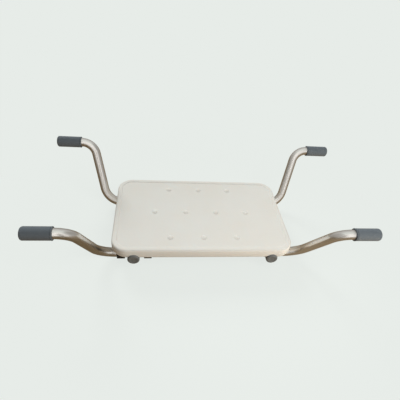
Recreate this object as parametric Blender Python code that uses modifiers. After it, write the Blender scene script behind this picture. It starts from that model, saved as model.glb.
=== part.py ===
"""Bath bench that hangs by four arms from the rims of a bath.

A moulded seat lies on two cross tubes. Four bent arm tubes run under the cross tubes,
rise outside the seat and end level in soft grips, which rest on the rims of the bath.
The two left arms slide in guide saddles to suit the width of the bath, on joining tubes
that are riveted into the right arms, and a thumb screw in a saddle holds each of them.

Sizes are in metres. +X runs along the seat, -Y is the front and +Z is up. The origin is
under the middle of the seat, level with the lowest point of the bench.
"""

import math

import bmesh
import bpy
from mathutils import Matrix, Quaternion, Vector

# Gap between pieces that touch on the real bench
TOUCH_GAP = 0.0003

# Seat board
SEAT_WIDTH = 0.430
SEAT_DEPTH = 0.258
SEAT_THICKNESS = 0.028
SEAT_CORNER_RADIUS = 0.038
SEAT_TOP_RADIUS = 0.008
SEAT_BOTTOM_RADIUS = 0.010
RIM_FLAT = 0.003
PANEL_STEP_WIDTH = 0.0016
PANEL_DEPTH = 0.0009
DOME_DIAMETER = 0.015
DOME_HEIGHT = 0.0026
DOME_ROW_GAP = 0.087
DOME_PITCH_OUTER_ROW = 0.080
DOME_PITCH_MIDDLE_ROW = 0.078

# Tubes: one stock size for the cross tubes and the arms
TUBE_DIAMETER = 0.022
TUBE_WALL = 0.0015
CROSS_TUBE_INSET = 0.0515
ARM_LINE_INSET = 0.039

# Bent shape of an arm, in a plane that leans outwards
LOWER_BEND_RADIUS = 0.049
UPPER_BEND_RADIUS = 0.037
RISER_LENGTH = 0.094
BEND_ANGLE = math.radians(78.0)
ARM_LEAN = math.radians(26.7)
BEND_START_GAP = 0.0010

# Telescoping of the left arms on the joining tubes
ARM_END_GAP = 0.004
JOINING_CLEARANCE = 0.0004
JOINING_WALL = 0.0015
JOINING_REACH_LEFT = 0.098
JOINING_REACH_RIGHT = 0.066

# Soft grips on the arms and caps on the cross tubes
GRIP_LENGTH = 0.060
GRIP_WALL = 0.00245
GRIP_END_WALL = 0.0035
GRIP_END_RADIUS = 0.005
GRIP_RIM_HEIGHT = 0.0007
GRIP_RIM_WIDTH = 0.0025
GRIP_START_GAP = 0.0005
CAP_LENGTH = 0.026
CAP_WALL = 0.0026
CAP_END_WALL = 0.0035
CAP_END_RADIUS = 0.0035
CAP_PROUD = 0.004

# Guide saddles round the left arms
SADDLE_SPACING = 0.0635
SADDLE_LENGTH = 0.018
SADDLE_WALL = 0.0038
SADDLE_FLANGE_EDGE = 0.0034
SADDLE_FLANGE_THICKNESS = 0.004
SADDLE_FLANGE_DRAFT = 0.0004
SADDLE_FILLET = 0.001
BOSS_RADIUS = 0.008
BOSS_WALL = 0.004

# Thumb screw, with its nut trapped in the saddle between the boss and the tube
STUD_RADIUS = 0.003
STUD_CLEARANCE = 0.0003
NUT_WIDTH = 0.010
NUT_THICKNESS = 0.0045
NUT_TUBE_GAP = 0.0007
KNOB_RADIUS = 0.0105
KNOB_LOBE = 0.0009
KNOB_LOBES = 6
KNOB_THICKNESS = 0.010
KNOB_BOSS_GAP = 0.0015
KNOB_COVER = 0.0025
KNOB_EDGE = 0.001

# Fasteners
BOLT_RADIUS = 0.003
BOLT_HOLE_CLEARANCE = 0.0003
BOLT_HEAD_RADIUS = 0.0055
BOLT_HEAD_HEIGHT = 0.0025
WASHER_RADIUS = 0.007
WASHER_THICKNESS = 0.001
INSERT_WALL = 0.0015
SEAT_SKIN = 0.0055
CROSS_SCREW_SPACING = 0.090
SADDLE_SCREW_RADIUS = 0.0019
SADDLE_SCREW_HEAD_RADIUS = 0.0032
SADDLE_SCREW_HEAD_HEIGHT = 0.0024
SADDLE_SCREW_GRIP = 0.013
RIVET_RADIUS = 0.0016
RIVET_HEAD_RADIUS = 0.0032
RIVET_HEAD_HEIGHT = 0.0013
RIVET_TAIL = 0.0015
RIVET_SPACING = 0.030

# Fineness of the facets
TUBE_SIDES = 16
BEND_STEPS = 6
CORNER_STEPS = 8
EDGE_STEPS = 4
ROUND_STEPS = 16
SMALL_ROUND_STEPS = 8
BOLT_STEPS = 12
DOME_SIDES = 14
GROOVE_STEPS = 24
SADDLE_BORE_STEPS = 20
SADDLE_BELLY_STEPS = 14
FILLET_STEPS = 3
POINTS_PER_LOBE = 6

# Points nearer than this are one point, and a cutter starts this far outside what it cuts
MERGE_DISTANCE = 0.00001
CUT_OVERSHOOT = 0.001

# Levels, counted up from the lowest point of the bench
tube_radius = TUBE_DIAMETER / 2
saddle_bore_radius = tube_radius + TOUCH_GAP
saddle_radius = saddle_bore_radius + SADDLE_WALL
bolt_reach = tube_radius + 2 * TOUCH_GAP + WASHER_THICKNESS + BOLT_HEAD_HEIGHT
arm_line_z = max(saddle_radius, bolt_reach)
cross_tube_z = arm_line_z + TUBE_DIAMETER + TOUCH_GAP
seat_underside_z = cross_tube_z
seat_top_z = seat_underside_z + SEAT_THICKNESS
panel_z = seat_top_z - PANEL_DEPTH

# Places in plan
cross_tube_x = SEAT_WIDTH / 2 - CROSS_TUBE_INSET
arm_line_y = SEAT_DEPTH / 2 - ARM_LINE_INSET
saddle_outer_x = cross_tube_x + SADDLE_SPACING / 2
saddle_inner_x = cross_tube_x - SADDLE_SPACING / 2
bend_start_x = saddle_outer_x + SADDLE_LENGTH / 2 + BEND_START_GAP
cap_face_y = SEAT_DEPTH / 2 + CAP_PROUD
cross_tube_end_y = cap_face_y - CAP_END_WALL - TOUCH_GAP
cap_radius = tube_radius + TOUCH_GAP + CAP_WALL
cap_inner_y = cap_face_y - CAP_LENGTH

# Places of the fasteners
insert_radius = BOLT_RADIUS + BOLT_HOLE_CLEARANCE + INSERT_WALL
insert_bottom_z = cross_tube_z + tube_radius + 2 * TOUCH_GAP
insert_top_z = panel_z - SEAT_SKIN
saddle_screw_offset = saddle_radius + SADDLE_FILLET + SADDLE_SCREW_HEAD_RADIUS + TOUCH_GAP
saddle_flange_z = seat_underside_z - TOUCH_GAP - SADDLE_FLANGE_THICKNESS
joining_radius = tube_radius - TUBE_WALL - JOINING_CLEARANCE


def clear_scene():
    """Remove every object that the file opened with."""
    for thing in list(bpy.data.objects):
        bpy.data.objects.remove(thing, do_unlink=True)


def new_collection(name):
    """A collection linked to the scene."""
    collection = bpy.data.collections.new(name)
    bpy.context.scene.collection.children.link(collection)
    return collection


def material(name, colour, roughness, metallic=0.0):
    """A Principled material in one colour."""
    made = bpy.data.materials.new(name)
    made.use_nodes = True
    shader = made.node_tree.nodes["Principled BSDF"]
    shader.inputs["Base Color"].default_value = (*colour, 1.0)
    shader.inputs["Roughness"].default_value = roughness
    shader.inputs["Metallic"].default_value = metallic
    return made


clear_scene()
parts = new_collection("bath_bench")
cutters = new_collection("cutters")

seat_plastic = material("seat_plastic", (0.66, 0.63, 0.57), 0.42)
satin_aluminium = material("satin_aluminium", (0.62, 0.58, 0.53), 0.30, 1.0)
grip_vinyl = material("grip_vinyl", (0.09, 0.10, 0.11), 0.60)
cap_vinyl = material("cap_vinyl", (0.075, 0.08, 0.075), 0.60)
saddle_plastic = material("saddle_plastic", (0.02, 0.02, 0.02), 0.50)
plated_steel = material("plated_steel", (0.60, 0.60, 0.58), 0.28, 1.0)
brass = material("brass", (0.62, 0.47, 0.22), 0.35, 1.0)


def place(name, mesh, skin, location=(0.0, 0.0, 0.0), rotation=None, parent=None):
    """Put a mesh in the collection of parts as a named object with one material."""
    mesh.name = name
    mesh.materials.clear()
    mesh.materials.append(skin)
    part = bpy.data.objects.new(name, mesh)
    parts.objects.link(part)
    part.location = location
    if rotation is not None:
        part.rotation_euler = rotation.to_euler()
    part.parent = parent
    return part


def cutter(name, mesh):
    """A hidden object that only shapes others."""
    tool = bpy.data.objects.new(name, mesh)
    cutters.objects.link(tool)
    tool.hide_render = True
    tool.display_type = "WIRE"
    return tool


def combine(part, tool, operation):
    """Join a cutter to a part, or cut it from the part."""
    change = part.modifiers.new(tool.name, "BOOLEAN")
    change.operation = operation
    change.solver = "EXACT"
    change.object = tool
    return change


def mesh_from(builder):
    """Fill a new mesh with what a function builds in bmesh."""
    form = bmesh.new()
    builder(form)
    mesh = bpy.data.meshes.new("form")
    form.to_mesh(mesh)
    form.free()
    return mesh


def evaluated_mesh(source):
    """The mesh of an object with its modifiers, and the object removed."""
    parts.objects.link(source)
    depsgraph = bpy.context.evaluated_depsgraph_get()
    mesh = bpy.data.meshes.new_from_object(source.evaluated_get(depsgraph))
    bpy.data.objects.remove(source, do_unlink=True)
    form = bmesh.new()
    form.from_mesh(mesh)
    bmesh.ops.remove_doubles(form, verts=form.verts, dist=MERGE_DISTANCE)
    bmesh.ops.recalc_face_normals(form, faces=form.faces)
    form.to_mesh(mesh)
    form.free()
    return mesh


def shade(mesh, degrees=35.0):
    """Smooth shading, with the true edges kept sharp."""
    mesh.shade_smooth()
    mesh.set_sharp_from_angle(angle=math.radians(degrees))
    return mesh


def arc(centre, radius, start, end, steps):
    """Points on an arc in a plane, from one angle to another, in degrees."""
    points = []
    for step in range(steps + 1):
        angle = math.radians(start + (end - start) * step / steps)
        points.append((centre[0] + radius * math.cos(angle), centre[1] + radius * math.sin(angle)))
    return points


def circle(radius, steps):
    """A closed outline of a circle about the origin."""
    return arc((0.0, 0.0), radius, 0.0, 360.0, steps)[:-1]


def pipe(points, radius, wall, sides=TUBE_SIDES):
    """A hollow tube along a path: an open bevelled curve with a wall."""
    curve = bpy.data.curves.new("pipe", "CURVE")
    curve.dimensions = "3D"
    curve.bevel_depth = radius
    curve.bevel_resolution = (sides - 4) // 2
    spline = curve.splines.new("POLY")
    spline.points.add(len(points) - 1)
    for knot, point in zip(spline.points, points):
        knot.co = (*point, 1.0)
    source = bpy.data.objects.new("pipe", curve)
    shell = source.modifiers.new("wall", "SOLIDIFY")
    shell.thickness = wall
    shell.offset = -1.0
    shell.use_even_offset = True
    return shade(evaluated_mesh(source))


def plate(outlines, thickness):
    """A flat plate from closed outlines, the inner ones as holes, centred on its thickness."""
    curve = bpy.data.curves.new("plate", "CURVE")
    curve.dimensions = "2D"
    curve.fill_mode = "BOTH"
    curve.extrude = thickness / 2
    for outline in outlines:
        spline = curve.splines.new("POLY")
        spline.points.add(len(outline) - 1)
        spline.use_cyclic_u = True
        for knot, point in zip(spline.points, outline):
            knot.co = (*point, 0.0, 1.0)
    return shade(evaluated_mesh(bpy.data.objects.new("plate", curve)))


def turned(profile, steps=ROUND_STEPS):
    """A solid turned about Z from points (radius, height) that run down its outer side."""
    mesh = bpy.data.meshes.new("turned")
    edges = [(index, index + 1) for index in range(len(profile) - 1)]
    mesh.from_pydata([(radius, 0.0, height) for radius, height in profile], edges, [])
    source = bpy.data.objects.new("turned", mesh)
    spin = source.modifiers.new("turn", "SCREW")
    spin.steps = steps
    spin.render_steps = steps
    spin.use_merge_vertices = True
    spin.merge_threshold = MERGE_DISTANCE
    return shade(evaluated_mesh(source))


def rod(form, radius, low, high, segments=ROUND_STEPS, centre=(0.0, 0.0)):
    """Add an upright cylinder to a bmesh, between two heights."""
    shift = Matrix.Translation((*centre, (low + high) / 2))
    bmesh.ops.create_cone(form, cap_ends=True, segments=segments, radius1=radius, radius2=radius,
                          depth=high - low, matrix=shift)


def along(direction):
    """The rotation that turns +Z to a direction."""
    return Vector(direction).to_track_quat("Z", "Y")


def round_level_edges(form, level, radius, steps):
    """Round the edges that lie at one height all along."""
    loop = [edge for edge in form.edges
            if all(abs(corner.co.z - level) < MERGE_DISTANCE for corner in edge.verts)]
    bmesh.ops.bevel(form, geom=loop, offset=radius, segments=steps, profile=0.5, affect="EDGES")


def board(form):
    """The seat's body: round corners, round edges, a rim and a sunken panel."""
    half = SEAT_THICKNESS / 2
    bmesh.ops.create_cube(form, size=1.0)
    bmesh.ops.scale(form, vec=(SEAT_WIDTH, SEAT_DEPTH, SEAT_THICKNESS), verts=form.verts)
    upright = [edge for edge in form.edges if abs(edge.verts[0].co.z - edge.verts[1].co.z) > half]
    bmesh.ops.bevel(form, geom=upright, offset=SEAT_CORNER_RADIUS, segments=CORNER_STEPS,
                    profile=0.5, affect="EDGES")
    round_level_edges(form, half, SEAT_TOP_RADIUS, EDGE_STEPS)
    round_level_edges(form, -half, SEAT_BOTTOM_RADIUS, EDGE_STEPS)
    top = max(form.faces, key=lambda face: face.calc_center_median().z)
    bmesh.ops.inset_region(form, faces=[top], thickness=RIM_FLAT, use_even_offset=True)
    bmesh.ops.inset_region(form, faces=[top], thickness=PANEL_STEP_WIDTH, depth=-PANEL_DEPTH,
                           use_even_offset=True)
    bmesh.ops.translate(form, vec=(0.0, 0.0, seat_top_z - half), verts=form.verts)


def dome_places():
    """Places of the domes: rows of three, four and three."""
    places = []
    for row, count, pitch in ((-1, 3, DOME_PITCH_OUTER_ROW), (0, 4, DOME_PITCH_MIDDLE_ROW),
                              (1, 3, DOME_PITCH_OUTER_ROW)):
        for index in range(count):
            places.append(((index - (count - 1) / 2) * pitch, row * DOME_ROW_GAP))
    return places


def domes(form):
    """Spheres whose tops stand out of the panel as shallow domes."""
    half_width = DOME_DIAMETER / 2
    ball_radius = (half_width ** 2 + DOME_HEIGHT ** 2) / (2 * DOME_HEIGHT)
    for x, y in dome_places():
        centre = Matrix.Translation((x, y, panel_z + DOME_HEIGHT - ball_radius))
        bmesh.ops.create_uvsphere(form, u_segments=DOME_SIDES, v_segments=DOME_SIDES,
                                  radius=ball_radius, matrix=centre)


def channel_profile():
    """Outline of the groove for a cross tube, wider at its ends for the caps."""
    end = SEAT_DEPTH / 2 + CAP_PROUD
    step = cap_inner_y - TOUCH_GAP
    wide = cap_radius + TOUCH_GAP
    narrow = tube_radius + TOUCH_GAP
    return [(0.0, end), (wide, end), (wide, step), (narrow, step),
            (narrow, -step), (wide, -step), (wide, -end), (0.0, -end)]


def seat_holes(form):
    """Holes in the seat's underside for the inserts and the saddle screws."""
    for x, y in insert_places().values():
        rod(form, insert_radius + TOUCH_GAP, cross_tube_z, insert_top_z + TOUCH_GAP,
            segments=BOLT_STEPS, centre=(x, y))
    for x, y in saddle_screw_places().values():
        rod(form, SADDLE_SCREW_RADIUS + TOUCH_GAP, seat_underside_z - CUT_OVERSHOOT,
            seat_underside_z + SADDLE_SCREW_GRIP, segments=SMALL_ROUND_STEPS, centre=(x, y))


def crossing_places():
    """Where the right arms cross the right cross tube, by name."""
    return {"front": (cross_tube_x, -arm_line_y), "rear": (cross_tube_x, arm_line_y)}


def cross_screw_places():
    """Where the left cross tube is screwed to the seat, by name."""
    half = CROSS_SCREW_SPACING / 2
    return {"front": (-cross_tube_x, -half), "rear": (-cross_tube_x, half)}


def insert_places():
    """Where threaded inserts sit in the seat, over the cross tubes, by name."""
    places = {end + "_right": spot for end, spot in crossing_places().items()}
    places.update({end + "_left": spot for end, spot in cross_screw_places().items()})
    return places


def saddle_screw_places():
    """Two screws for each saddle, one on each side of the arm, by name."""
    places = {}
    for end, toward in (("front", -1), ("rear", 1)):
        for where, x in (("outer", -saddle_outer_x), ("inner", -saddle_inner_x)):
            for edge, reach in (("edge", toward), ("middle", -toward)):
                y = toward * arm_line_y + reach * saddle_screw_offset
                places["%s_%s_%s" % (end, where, edge)] = (x, y)
    return places


def make_seat():
    """The seat board, with its domes, grooves and holes."""
    seat = place("seat_board", mesh_from(board), seat_plastic)
    combine(seat, cutter("domes", mesh_from(domes)), "UNION")
    for name, side in (("left", -1), ("right", 1)):
        groove = cutter("groove_" + name, turned(channel_profile(), GROOVE_STEPS))
        groove.location = (side * cross_tube_x, 0.0, cross_tube_z)
        groove.rotation_euler = along((0.0, 1.0, 0.0)).to_euler()
        combine(seat, groove, "DIFFERENCE")
    combine(seat, cutter("seat_holes", mesh_from(seat_holes)), "DIFFERENCE")
    shade(seat.data)


def make_cross_tubes():
    """Two cross tubes half sunk in the seat, drilled for their bolts or screws."""
    ends = [(0.0, -cross_tube_end_y, 0.0), (0.0, cross_tube_end_y, 0.0)]
    for name, side, places in (("left", -1, cross_screw_places()), ("right", 1, crossing_places())):
        tube = place("cross_tube_" + name, pipe(ends, tube_radius, TUBE_WALL), satin_aluminium,
                     (side * cross_tube_x, 0.0, cross_tube_z))

        def drills(form):
            for x, y in places.values():
                rod(form, BOLT_RADIUS + BOLT_HOLE_CLEARANCE, cross_tube_z - TUBE_DIAMETER,
                    cross_tube_z + TUBE_DIAMETER, segments=BOLT_STEPS, centre=(x, y))

        combine(tube, cutter("cross_tube_drills_" + name, mesh_from(drills)), "DIFFERENCE")


def sleeve_profile(length, bore_radius, radius, end_wall, end_radius, rim_height=0.0, rim_width=0.0):
    """A blind sleeve with its closed end on top: outer side down, then the bore up."""
    round_end = arc((radius - end_radius, length - end_radius), end_radius, 90.0, 0.0, EDGE_STEPS)
    profile = [(0.0, length)] + round_end
    if rim_height > 0.0:
        profile += [(radius, rim_width + rim_height), (radius + rim_height, rim_width),
                    (radius + rim_height, rim_height)]
    bore_end = length - end_wall
    return profile + [(radius, 0.0), (bore_radius, 0.0), (bore_radius, bore_end), (0.0, bore_end)]


def make_cross_tube_caps():
    """A round cap on each end of each cross tube, standing a little proud of the seat's edge."""
    profile = sleeve_profile(CAP_LENGTH, tube_radius + TOUCH_GAP, cap_radius, CAP_END_WALL,
                             CAP_END_RADIUS)
    for end, toward in (("front", -1), ("rear", 1)):
        for name, side in (("left", -1), ("right", 1)):
            place("cross_tube_cap_%s_%s" % (end, name), turned(profile), cap_vinyl,
                  (side * cross_tube_x, toward * cap_inner_y, cross_tube_z), along((0.0, toward, 0.0)))


def arm_path(outward, toward):
    """Axis of an arm from its inner end: straight, lower bend, riser, upper bend, level end."""
    turn = math.degrees(BEND_ANGLE)
    lower = arc((bend_start_x, LOWER_BEND_RADIUS), LOWER_BEND_RADIUS, -90.0, turn - 90.0, BEND_STEPS)
    riser_top = (lower[-1][0] + RISER_LENGTH * math.cos(BEND_ANGLE),
                 lower[-1][1] + RISER_LENGTH * math.sin(BEND_ANGLE))
    upper_centre = (riser_top[0] + UPPER_BEND_RADIUS * math.sin(BEND_ANGLE),
                    riser_top[1] - UPPER_BEND_RADIUS * math.cos(BEND_ANGLE))
    upper = arc(upper_centre, UPPER_BEND_RADIUS, 90.0 + turn, 90.0, BEND_STEPS)
    tail = GRIP_START_GAP + GRIP_LENGTH - GRIP_END_WALL - TOUCH_GAP
    flat = [(ARM_END_GAP / 2, 0.0)] + lower + upper + [(upper[-1][0] + tail, upper[-1][1])]
    return [(outward * along_seat, toward * rise * math.sin(ARM_LEAN), rise * math.cos(ARM_LEAN))
            for along_seat, rise in flat]


def rivet_places():
    """Rivets through each right arm into its joining tube, from below, by name."""
    middle = (ARM_END_GAP / 2 + JOINING_REACH_RIGHT) / 2
    places = {}
    for end, toward in (("front", -1), ("rear", 1)):
        for where, edge in (("inner", -1), ("outer", 1)):
            places["%s_%s" % (end, where)] = (middle + edge * RIVET_SPACING / 2, toward * arm_line_y)
    return places


def bolt_drills(form):
    """Drills through the right arms for the bolts at the crossings."""
    for x, y in crossing_places().values():
        rod(form, BOLT_RADIUS + BOLT_HOLE_CLEARANCE, arm_line_z - TUBE_DIAMETER,
            arm_line_z + TUBE_DIAMETER, segments=BOLT_STEPS, centre=(x, y))


def rivet_drills(form):
    """Drills through the lower walls for the rivets."""
    for x, y in rivet_places().values():
        rod(form, RIVET_RADIUS + TOUCH_GAP, arm_line_z - TUBE_DIAMETER, arm_line_z,
            segments=SMALL_ROUND_STEPS, centre=(x, y))


def make_arms():
    """Four arm tubes and their grips. Each has its origin on the line that the left ones slide along.

    A grip is turned about its own axis until one of its facets faces down, to the rim of the bath.
    """
    bolt_drill = cutter("bolt_drills", mesh_from(bolt_drills))
    rivet_drill = cutter("rivet_drills", mesh_from(rivet_drills))
    grip_profile = sleeve_profile(GRIP_LENGTH, tube_radius + TOUCH_GAP,
                                  tube_radius + TOUCH_GAP + GRIP_WALL, GRIP_END_WALL,
                                  GRIP_END_RADIUS, GRIP_RIM_HEIGHT, GRIP_RIM_WIDTH)
    for end, toward in (("front", -1), ("rear", 1)):
        for name, outward in (("left", -1), ("right", 1)):
            path = arm_path(outward, toward)
            arm = place("arm_tube_%s_%s" % (end, name), pipe(path, tube_radius, TUBE_WALL),
                        satin_aluminium, (0.0, toward * arm_line_y, arm_line_z))
            if name == "right":
                combine(arm, bolt_drill, "DIFFERENCE")
                combine(arm, rivet_drill, "DIFFERENCE")
            start = Vector(path[-2]) + Vector((outward * GRIP_START_GAP, 0.0, 0.0))
            facet_down = Quaternion((0.0, 0.0, 1.0), math.pi / ROUND_STEPS)
            place("grip_%s_%s" % (end, name), turned(grip_profile), grip_vinyl, start,
                  along((outward, 0.0, 0.0)) @ facet_down, arm)


def make_joining_tubes():
    """Inner tubes that are riveted into the right arms and guide the left arms."""
    ends = [(-JOINING_REACH_LEFT, 0.0, 0.0), (JOINING_REACH_RIGHT, 0.0, 0.0)]
    rivet_drill = bpy.data.objects["rivet_drills"]
    for end, toward in (("front", -1), ("rear", 1)):
        tube = place("joining_tube_" + end, pipe(ends, joining_radius, JOINING_WALL), satin_aluminium,
                     (0.0, toward * arm_line_y, arm_line_z))
        combine(tube, rivet_drill, "DIFFERENCE")


def saddle_outline():
    """Outline of a saddle across the arm: flanges under the seat and a round lower half."""
    top = seat_underside_z - TOUCH_GAP - arm_line_z
    flange = saddle_screw_offset + SADDLE_FLANGE_EDGE
    under = top - SADDLE_FLANGE_THICKNESS
    fillet = SADDLE_FILLET
    left_fillet = arc((-saddle_radius - fillet, under - fillet), fillet, 90.0, 0.0, FILLET_STEPS)
    belly = arc((0.0, 0.0), saddle_radius, 180.0, 360.0, SADDLE_BELLY_STEPS)
    right_fillet = arc((saddle_radius + fillet, under - fillet), fillet, 180.0, 90.0, FILLET_STEPS)
    tip = under + SADDLE_FLANGE_DRAFT
    left_tip = [(-flange, top), (-flange, tip)]
    right_tip = [(flange, tip), (flange, top)]
    return left_tip + left_fillet + belly + right_fillet + right_tip


def across_arm(mesh):
    """Turn a plate drawn across an arm so that its thickness runs along X."""
    mesh.transform(Matrix(((0, 0, 1, 0), (1, 0, 0, 0), (0, 1, 0, 0), (0, 0, 0, 1))))
    return mesh


nut_pocket_end = tube_radius + NUT_TUBE_GAP + NUT_THICKNESS + TOUCH_GAP
boss_end = nut_pocket_end + BOSS_WALL


def corner_radius(width):
    """Distance from the middle of a hexagon to its corners, from its width across the flats."""
    return width / 2 / math.cos(math.pi / 6)


def hexagon(width):
    """A closed hexagon of a given width across its flats, with a corner on +Y."""
    return arc((0.0, 0.0), corner_radius(width), 90.0, 450.0, 6)[:-1]


def saddle_boss(form):
    """The boss that the thumb screw goes through, along Z from inside the saddle's wall."""
    rod(form, BOSS_RADIUS, saddle_bore_radius + SADDLE_WALL / 4, boss_end)


def stud_bore(form):
    """The bore for the stud, from inside the saddle's bore out."""
    rod(form, STUD_RADIUS + STUD_CLEARANCE, tube_radius / 2, boss_end + CUT_OVERSHOOT)


def nut_pocket(form):
    """The pocket for the nut, open to the saddle's bore."""
    rod(form, corner_radius(NUT_WIDTH + 2 * TOUCH_GAP), tube_radius / 2, nut_pocket_end, segments=6)


def make_saddles():
    """Four guide saddles, the inner ones with a boss for the thumb screw."""
    outlines = [saddle_outline(), circle(saddle_bore_radius, SADDLE_BORE_STEPS)]

    def screw_holes(form):
        for x, y in saddle_screw_places().values():
            rod(form, SADDLE_SCREW_RADIUS + TOUCH_GAP, saddle_flange_z - CUT_OVERSHOOT,
                seat_underside_z, segments=SMALL_ROUND_STEPS, centre=(x, y))

    holes = cutter("saddle_screw_holes", mesh_from(screw_holes))
    for end, toward in (("front", -1), ("rear", 1)):
        for where, x in (("outer", -saddle_outer_x), ("inner", -saddle_inner_x)):
            centre = (x, toward * arm_line_y, arm_line_z)
            mesh = across_arm(plate(outlines, SADDLE_LENGTH))
            saddle = place("guide_saddle_%s_%s" % (end, where), mesh, saddle_plastic, centre)
            if where == "inner":
                for label, shape, operation in (("boss", saddle_boss, "UNION"),
                                                ("stud_bore", stud_bore, "DIFFERENCE"),
                                                ("nut_pocket", nut_pocket, "DIFFERENCE")):
                    tool = cutter("%s_%s" % (label, end), mesh_from(shape))
                    tool.location = centre
                    tool.rotation_euler = along((0.0, -toward, 0.0)).to_euler()
                    combine(saddle, tool, operation)
            combine(saddle, holes, "DIFFERENCE")


def fastener_profile(shank_radius, reach, head_radius, head_height):
    """A screw with a rounded head below the origin and its shank above."""
    crown = arc((0.0, 0.0), 1.0, 0.0, -90.0, FILLET_STEPS)
    head = [(head_radius * across, head_height * down) for across, down in crown]
    return [(0.0, reach), (shank_radius, reach), (shank_radius, 0.0)] + head


def set_out(prefix, mesh, places, height, skin):
    """A copy of a small piece at each named place, all at one height."""
    for label, (x, y) in places.items():
        place("%s_%s" % (prefix, label), mesh.copy(), skin, (x, y, height))


def make_bolts():
    """Bolts, washers and inserts at the crossings, and the left cross tube's screws."""
    head_top = arm_line_z - tube_radius - 2 * TOUCH_GAP - WASHER_THICKNESS
    washer_middle = arm_line_z - tube_radius - TOUCH_GAP - WASHER_THICKNESS / 2
    shank_top = insert_top_z - TOUCH_GAP
    bolt = turned(fastener_profile(BOLT_RADIUS, shank_top - head_top, BOLT_HEAD_RADIUS,
                                   BOLT_HEAD_HEIGHT), BOLT_STEPS)
    set_out("crossing_bolt", bolt, crossing_places(), head_top, plated_steel)
    ring = [circle(WASHER_RADIUS, ROUND_STEPS), circle(BOLT_RADIUS + BOLT_HOLE_CLEARANCE, ROUND_STEPS)]
    washer = plate(ring, WASHER_THICKNESS)
    set_out("crossing_washer", washer, crossing_places(), washer_middle, plated_steel)
    screw_head_top = cross_tube_z - tube_radius - TOUCH_GAP
    screw = turned(fastener_profile(BOLT_RADIUS, shank_top - screw_head_top, BOLT_HEAD_RADIUS,
                                    BOLT_HEAD_HEIGHT), BOLT_STEPS)
    set_out("cross_tube_screw", screw, cross_screw_places(), screw_head_top, plated_steel)
    wall = [circle(insert_radius, BOLT_STEPS), circle(BOLT_RADIUS + BOLT_HOLE_CLEARANCE, BOLT_STEPS)]
    insert = plate(wall, insert_top_z - insert_bottom_z)
    insert_middle = (insert_bottom_z + insert_top_z) / 2
    set_out("seat_insert", insert, insert_places(), insert_middle, brass)


def make_saddle_screws():
    """Screws up through the saddles' flanges into the seat."""
    head_top = saddle_flange_z - TOUCH_GAP
    reach = seat_underside_z + SADDLE_SCREW_GRIP - TOUCH_GAP - head_top
    screw = turned(fastener_profile(SADDLE_SCREW_RADIUS, reach, SADDLE_SCREW_HEAD_RADIUS,
                                    SADDLE_SCREW_HEAD_HEIGHT), SMALL_ROUND_STEPS)
    set_out("saddle_screw", screw, saddle_screw_places(), head_top, plated_steel)


def make_rivets():
    """Blind rivets that keep the joining tubes in the right arms."""
    head_top = arm_line_z - tube_radius - TOUCH_GAP
    reach = TOUCH_GAP + TUBE_WALL + JOINING_CLEARANCE + JOINING_WALL + RIVET_TAIL
    rivet = turned(fastener_profile(RIVET_RADIUS, reach, RIVET_HEAD_RADIUS, RIVET_HEAD_HEIGHT),
                   SMALL_ROUND_STEPS)
    set_out("joining_rivet", rivet, rivet_places(), head_top, satin_aluminium)


def knob_outline():
    """A round outline with lobes for the fingers."""
    points = []
    count = KNOB_LOBES * POINTS_PER_LOBE
    for index in range(count):
        angle = 2 * math.pi * index / count
        radius = KNOB_RADIUS + KNOB_LOBE * math.cos(KNOB_LOBES * angle)
        points.append((radius * math.cos(angle), radius * math.sin(angle)))
    return points


def make_thumb_screws():
    """Stud, knob and nut of each thumb screw, with the stud's origin on the arm's axis."""
    tip = tube_radius + TOUCH_GAP
    knob_start = boss_end + KNOB_BOSS_GAP
    stud_end = knob_start + KNOB_THICKNESS - KNOB_COVER - TOUCH_GAP
    nut_middle = tube_radius + NUT_TUBE_GAP + NUT_THICKNESS / 2
    nut_outlines = [hexagon(NUT_WIDTH), circle(STUD_RADIUS + STUD_CLEARANCE, BOLT_STEPS)]
    stud_profile = [(0.0, stud_end), (STUD_RADIUS, stud_end), (STUD_RADIUS, tip), (0.0, tip)]

    def socket(form):
        rod(form, STUD_RADIUS + TOUCH_GAP, knob_start - CUT_OVERSHOOT,
            knob_start + KNOB_THICKNESS - KNOB_COVER, segments=BOLT_STEPS)

    for end, toward in (("front", -1), ("rear", 1)):
        centre = Vector((-saddle_inner_x, toward * arm_line_y, arm_line_z))
        inward = Vector((0.0, -toward, 0.0))
        stud = place("thumb_screw_stud_" + end, turned(stud_profile, BOLT_STEPS), plated_steel,
                     centre, along(inward))
        knob = place("thumb_screw_knob_" + end, plate([knob_outline()], KNOB_THICKNESS),
                     saddle_plastic, (0.0, 0.0, knob_start + KNOB_THICKNESS / 2), None, stud)
        edge = knob.modifiers.new("edge", "BEVEL")
        edge.width = KNOB_EDGE
        edge.segments = 1
        edge.limit_method = "ANGLE"
        edge.angle_limit = math.radians(60.0)
        tool = cutter("knob_socket_" + end, mesh_from(socket))
        tool.parent = stud
        combine(knob, tool, "DIFFERENCE")
        place("thumb_screw_nut_" + end, plate(nut_outlines, NUT_THICKNESS), plated_steel,
              centre + inward * nut_middle, along(inward))


make_seat()
make_cross_tubes()
make_cross_tube_caps()
make_arms()
make_joining_tubes()
make_saddles()
make_bolts()
make_saddle_screws()
make_rivets()
make_thumb_screws()

print("Seat top %.1f mm above the lowest point" % (seat_top_z * 1000))
print("Pieces: %d" % len(parts.objects))
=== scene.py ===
# %% [markdown]
# # A bath bench, dressed for the camera
# The bench is one moulded seat on two cross tubes. Four bent arms run under it and end in
# soft grips, which rest on the rims of the bath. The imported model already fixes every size,
# joint and place. This lesson gives each piece its real surface and leaves all places alone.

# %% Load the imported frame
import math

import bmesh
import bpy
from mathutils import Matrix, Vector


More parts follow.
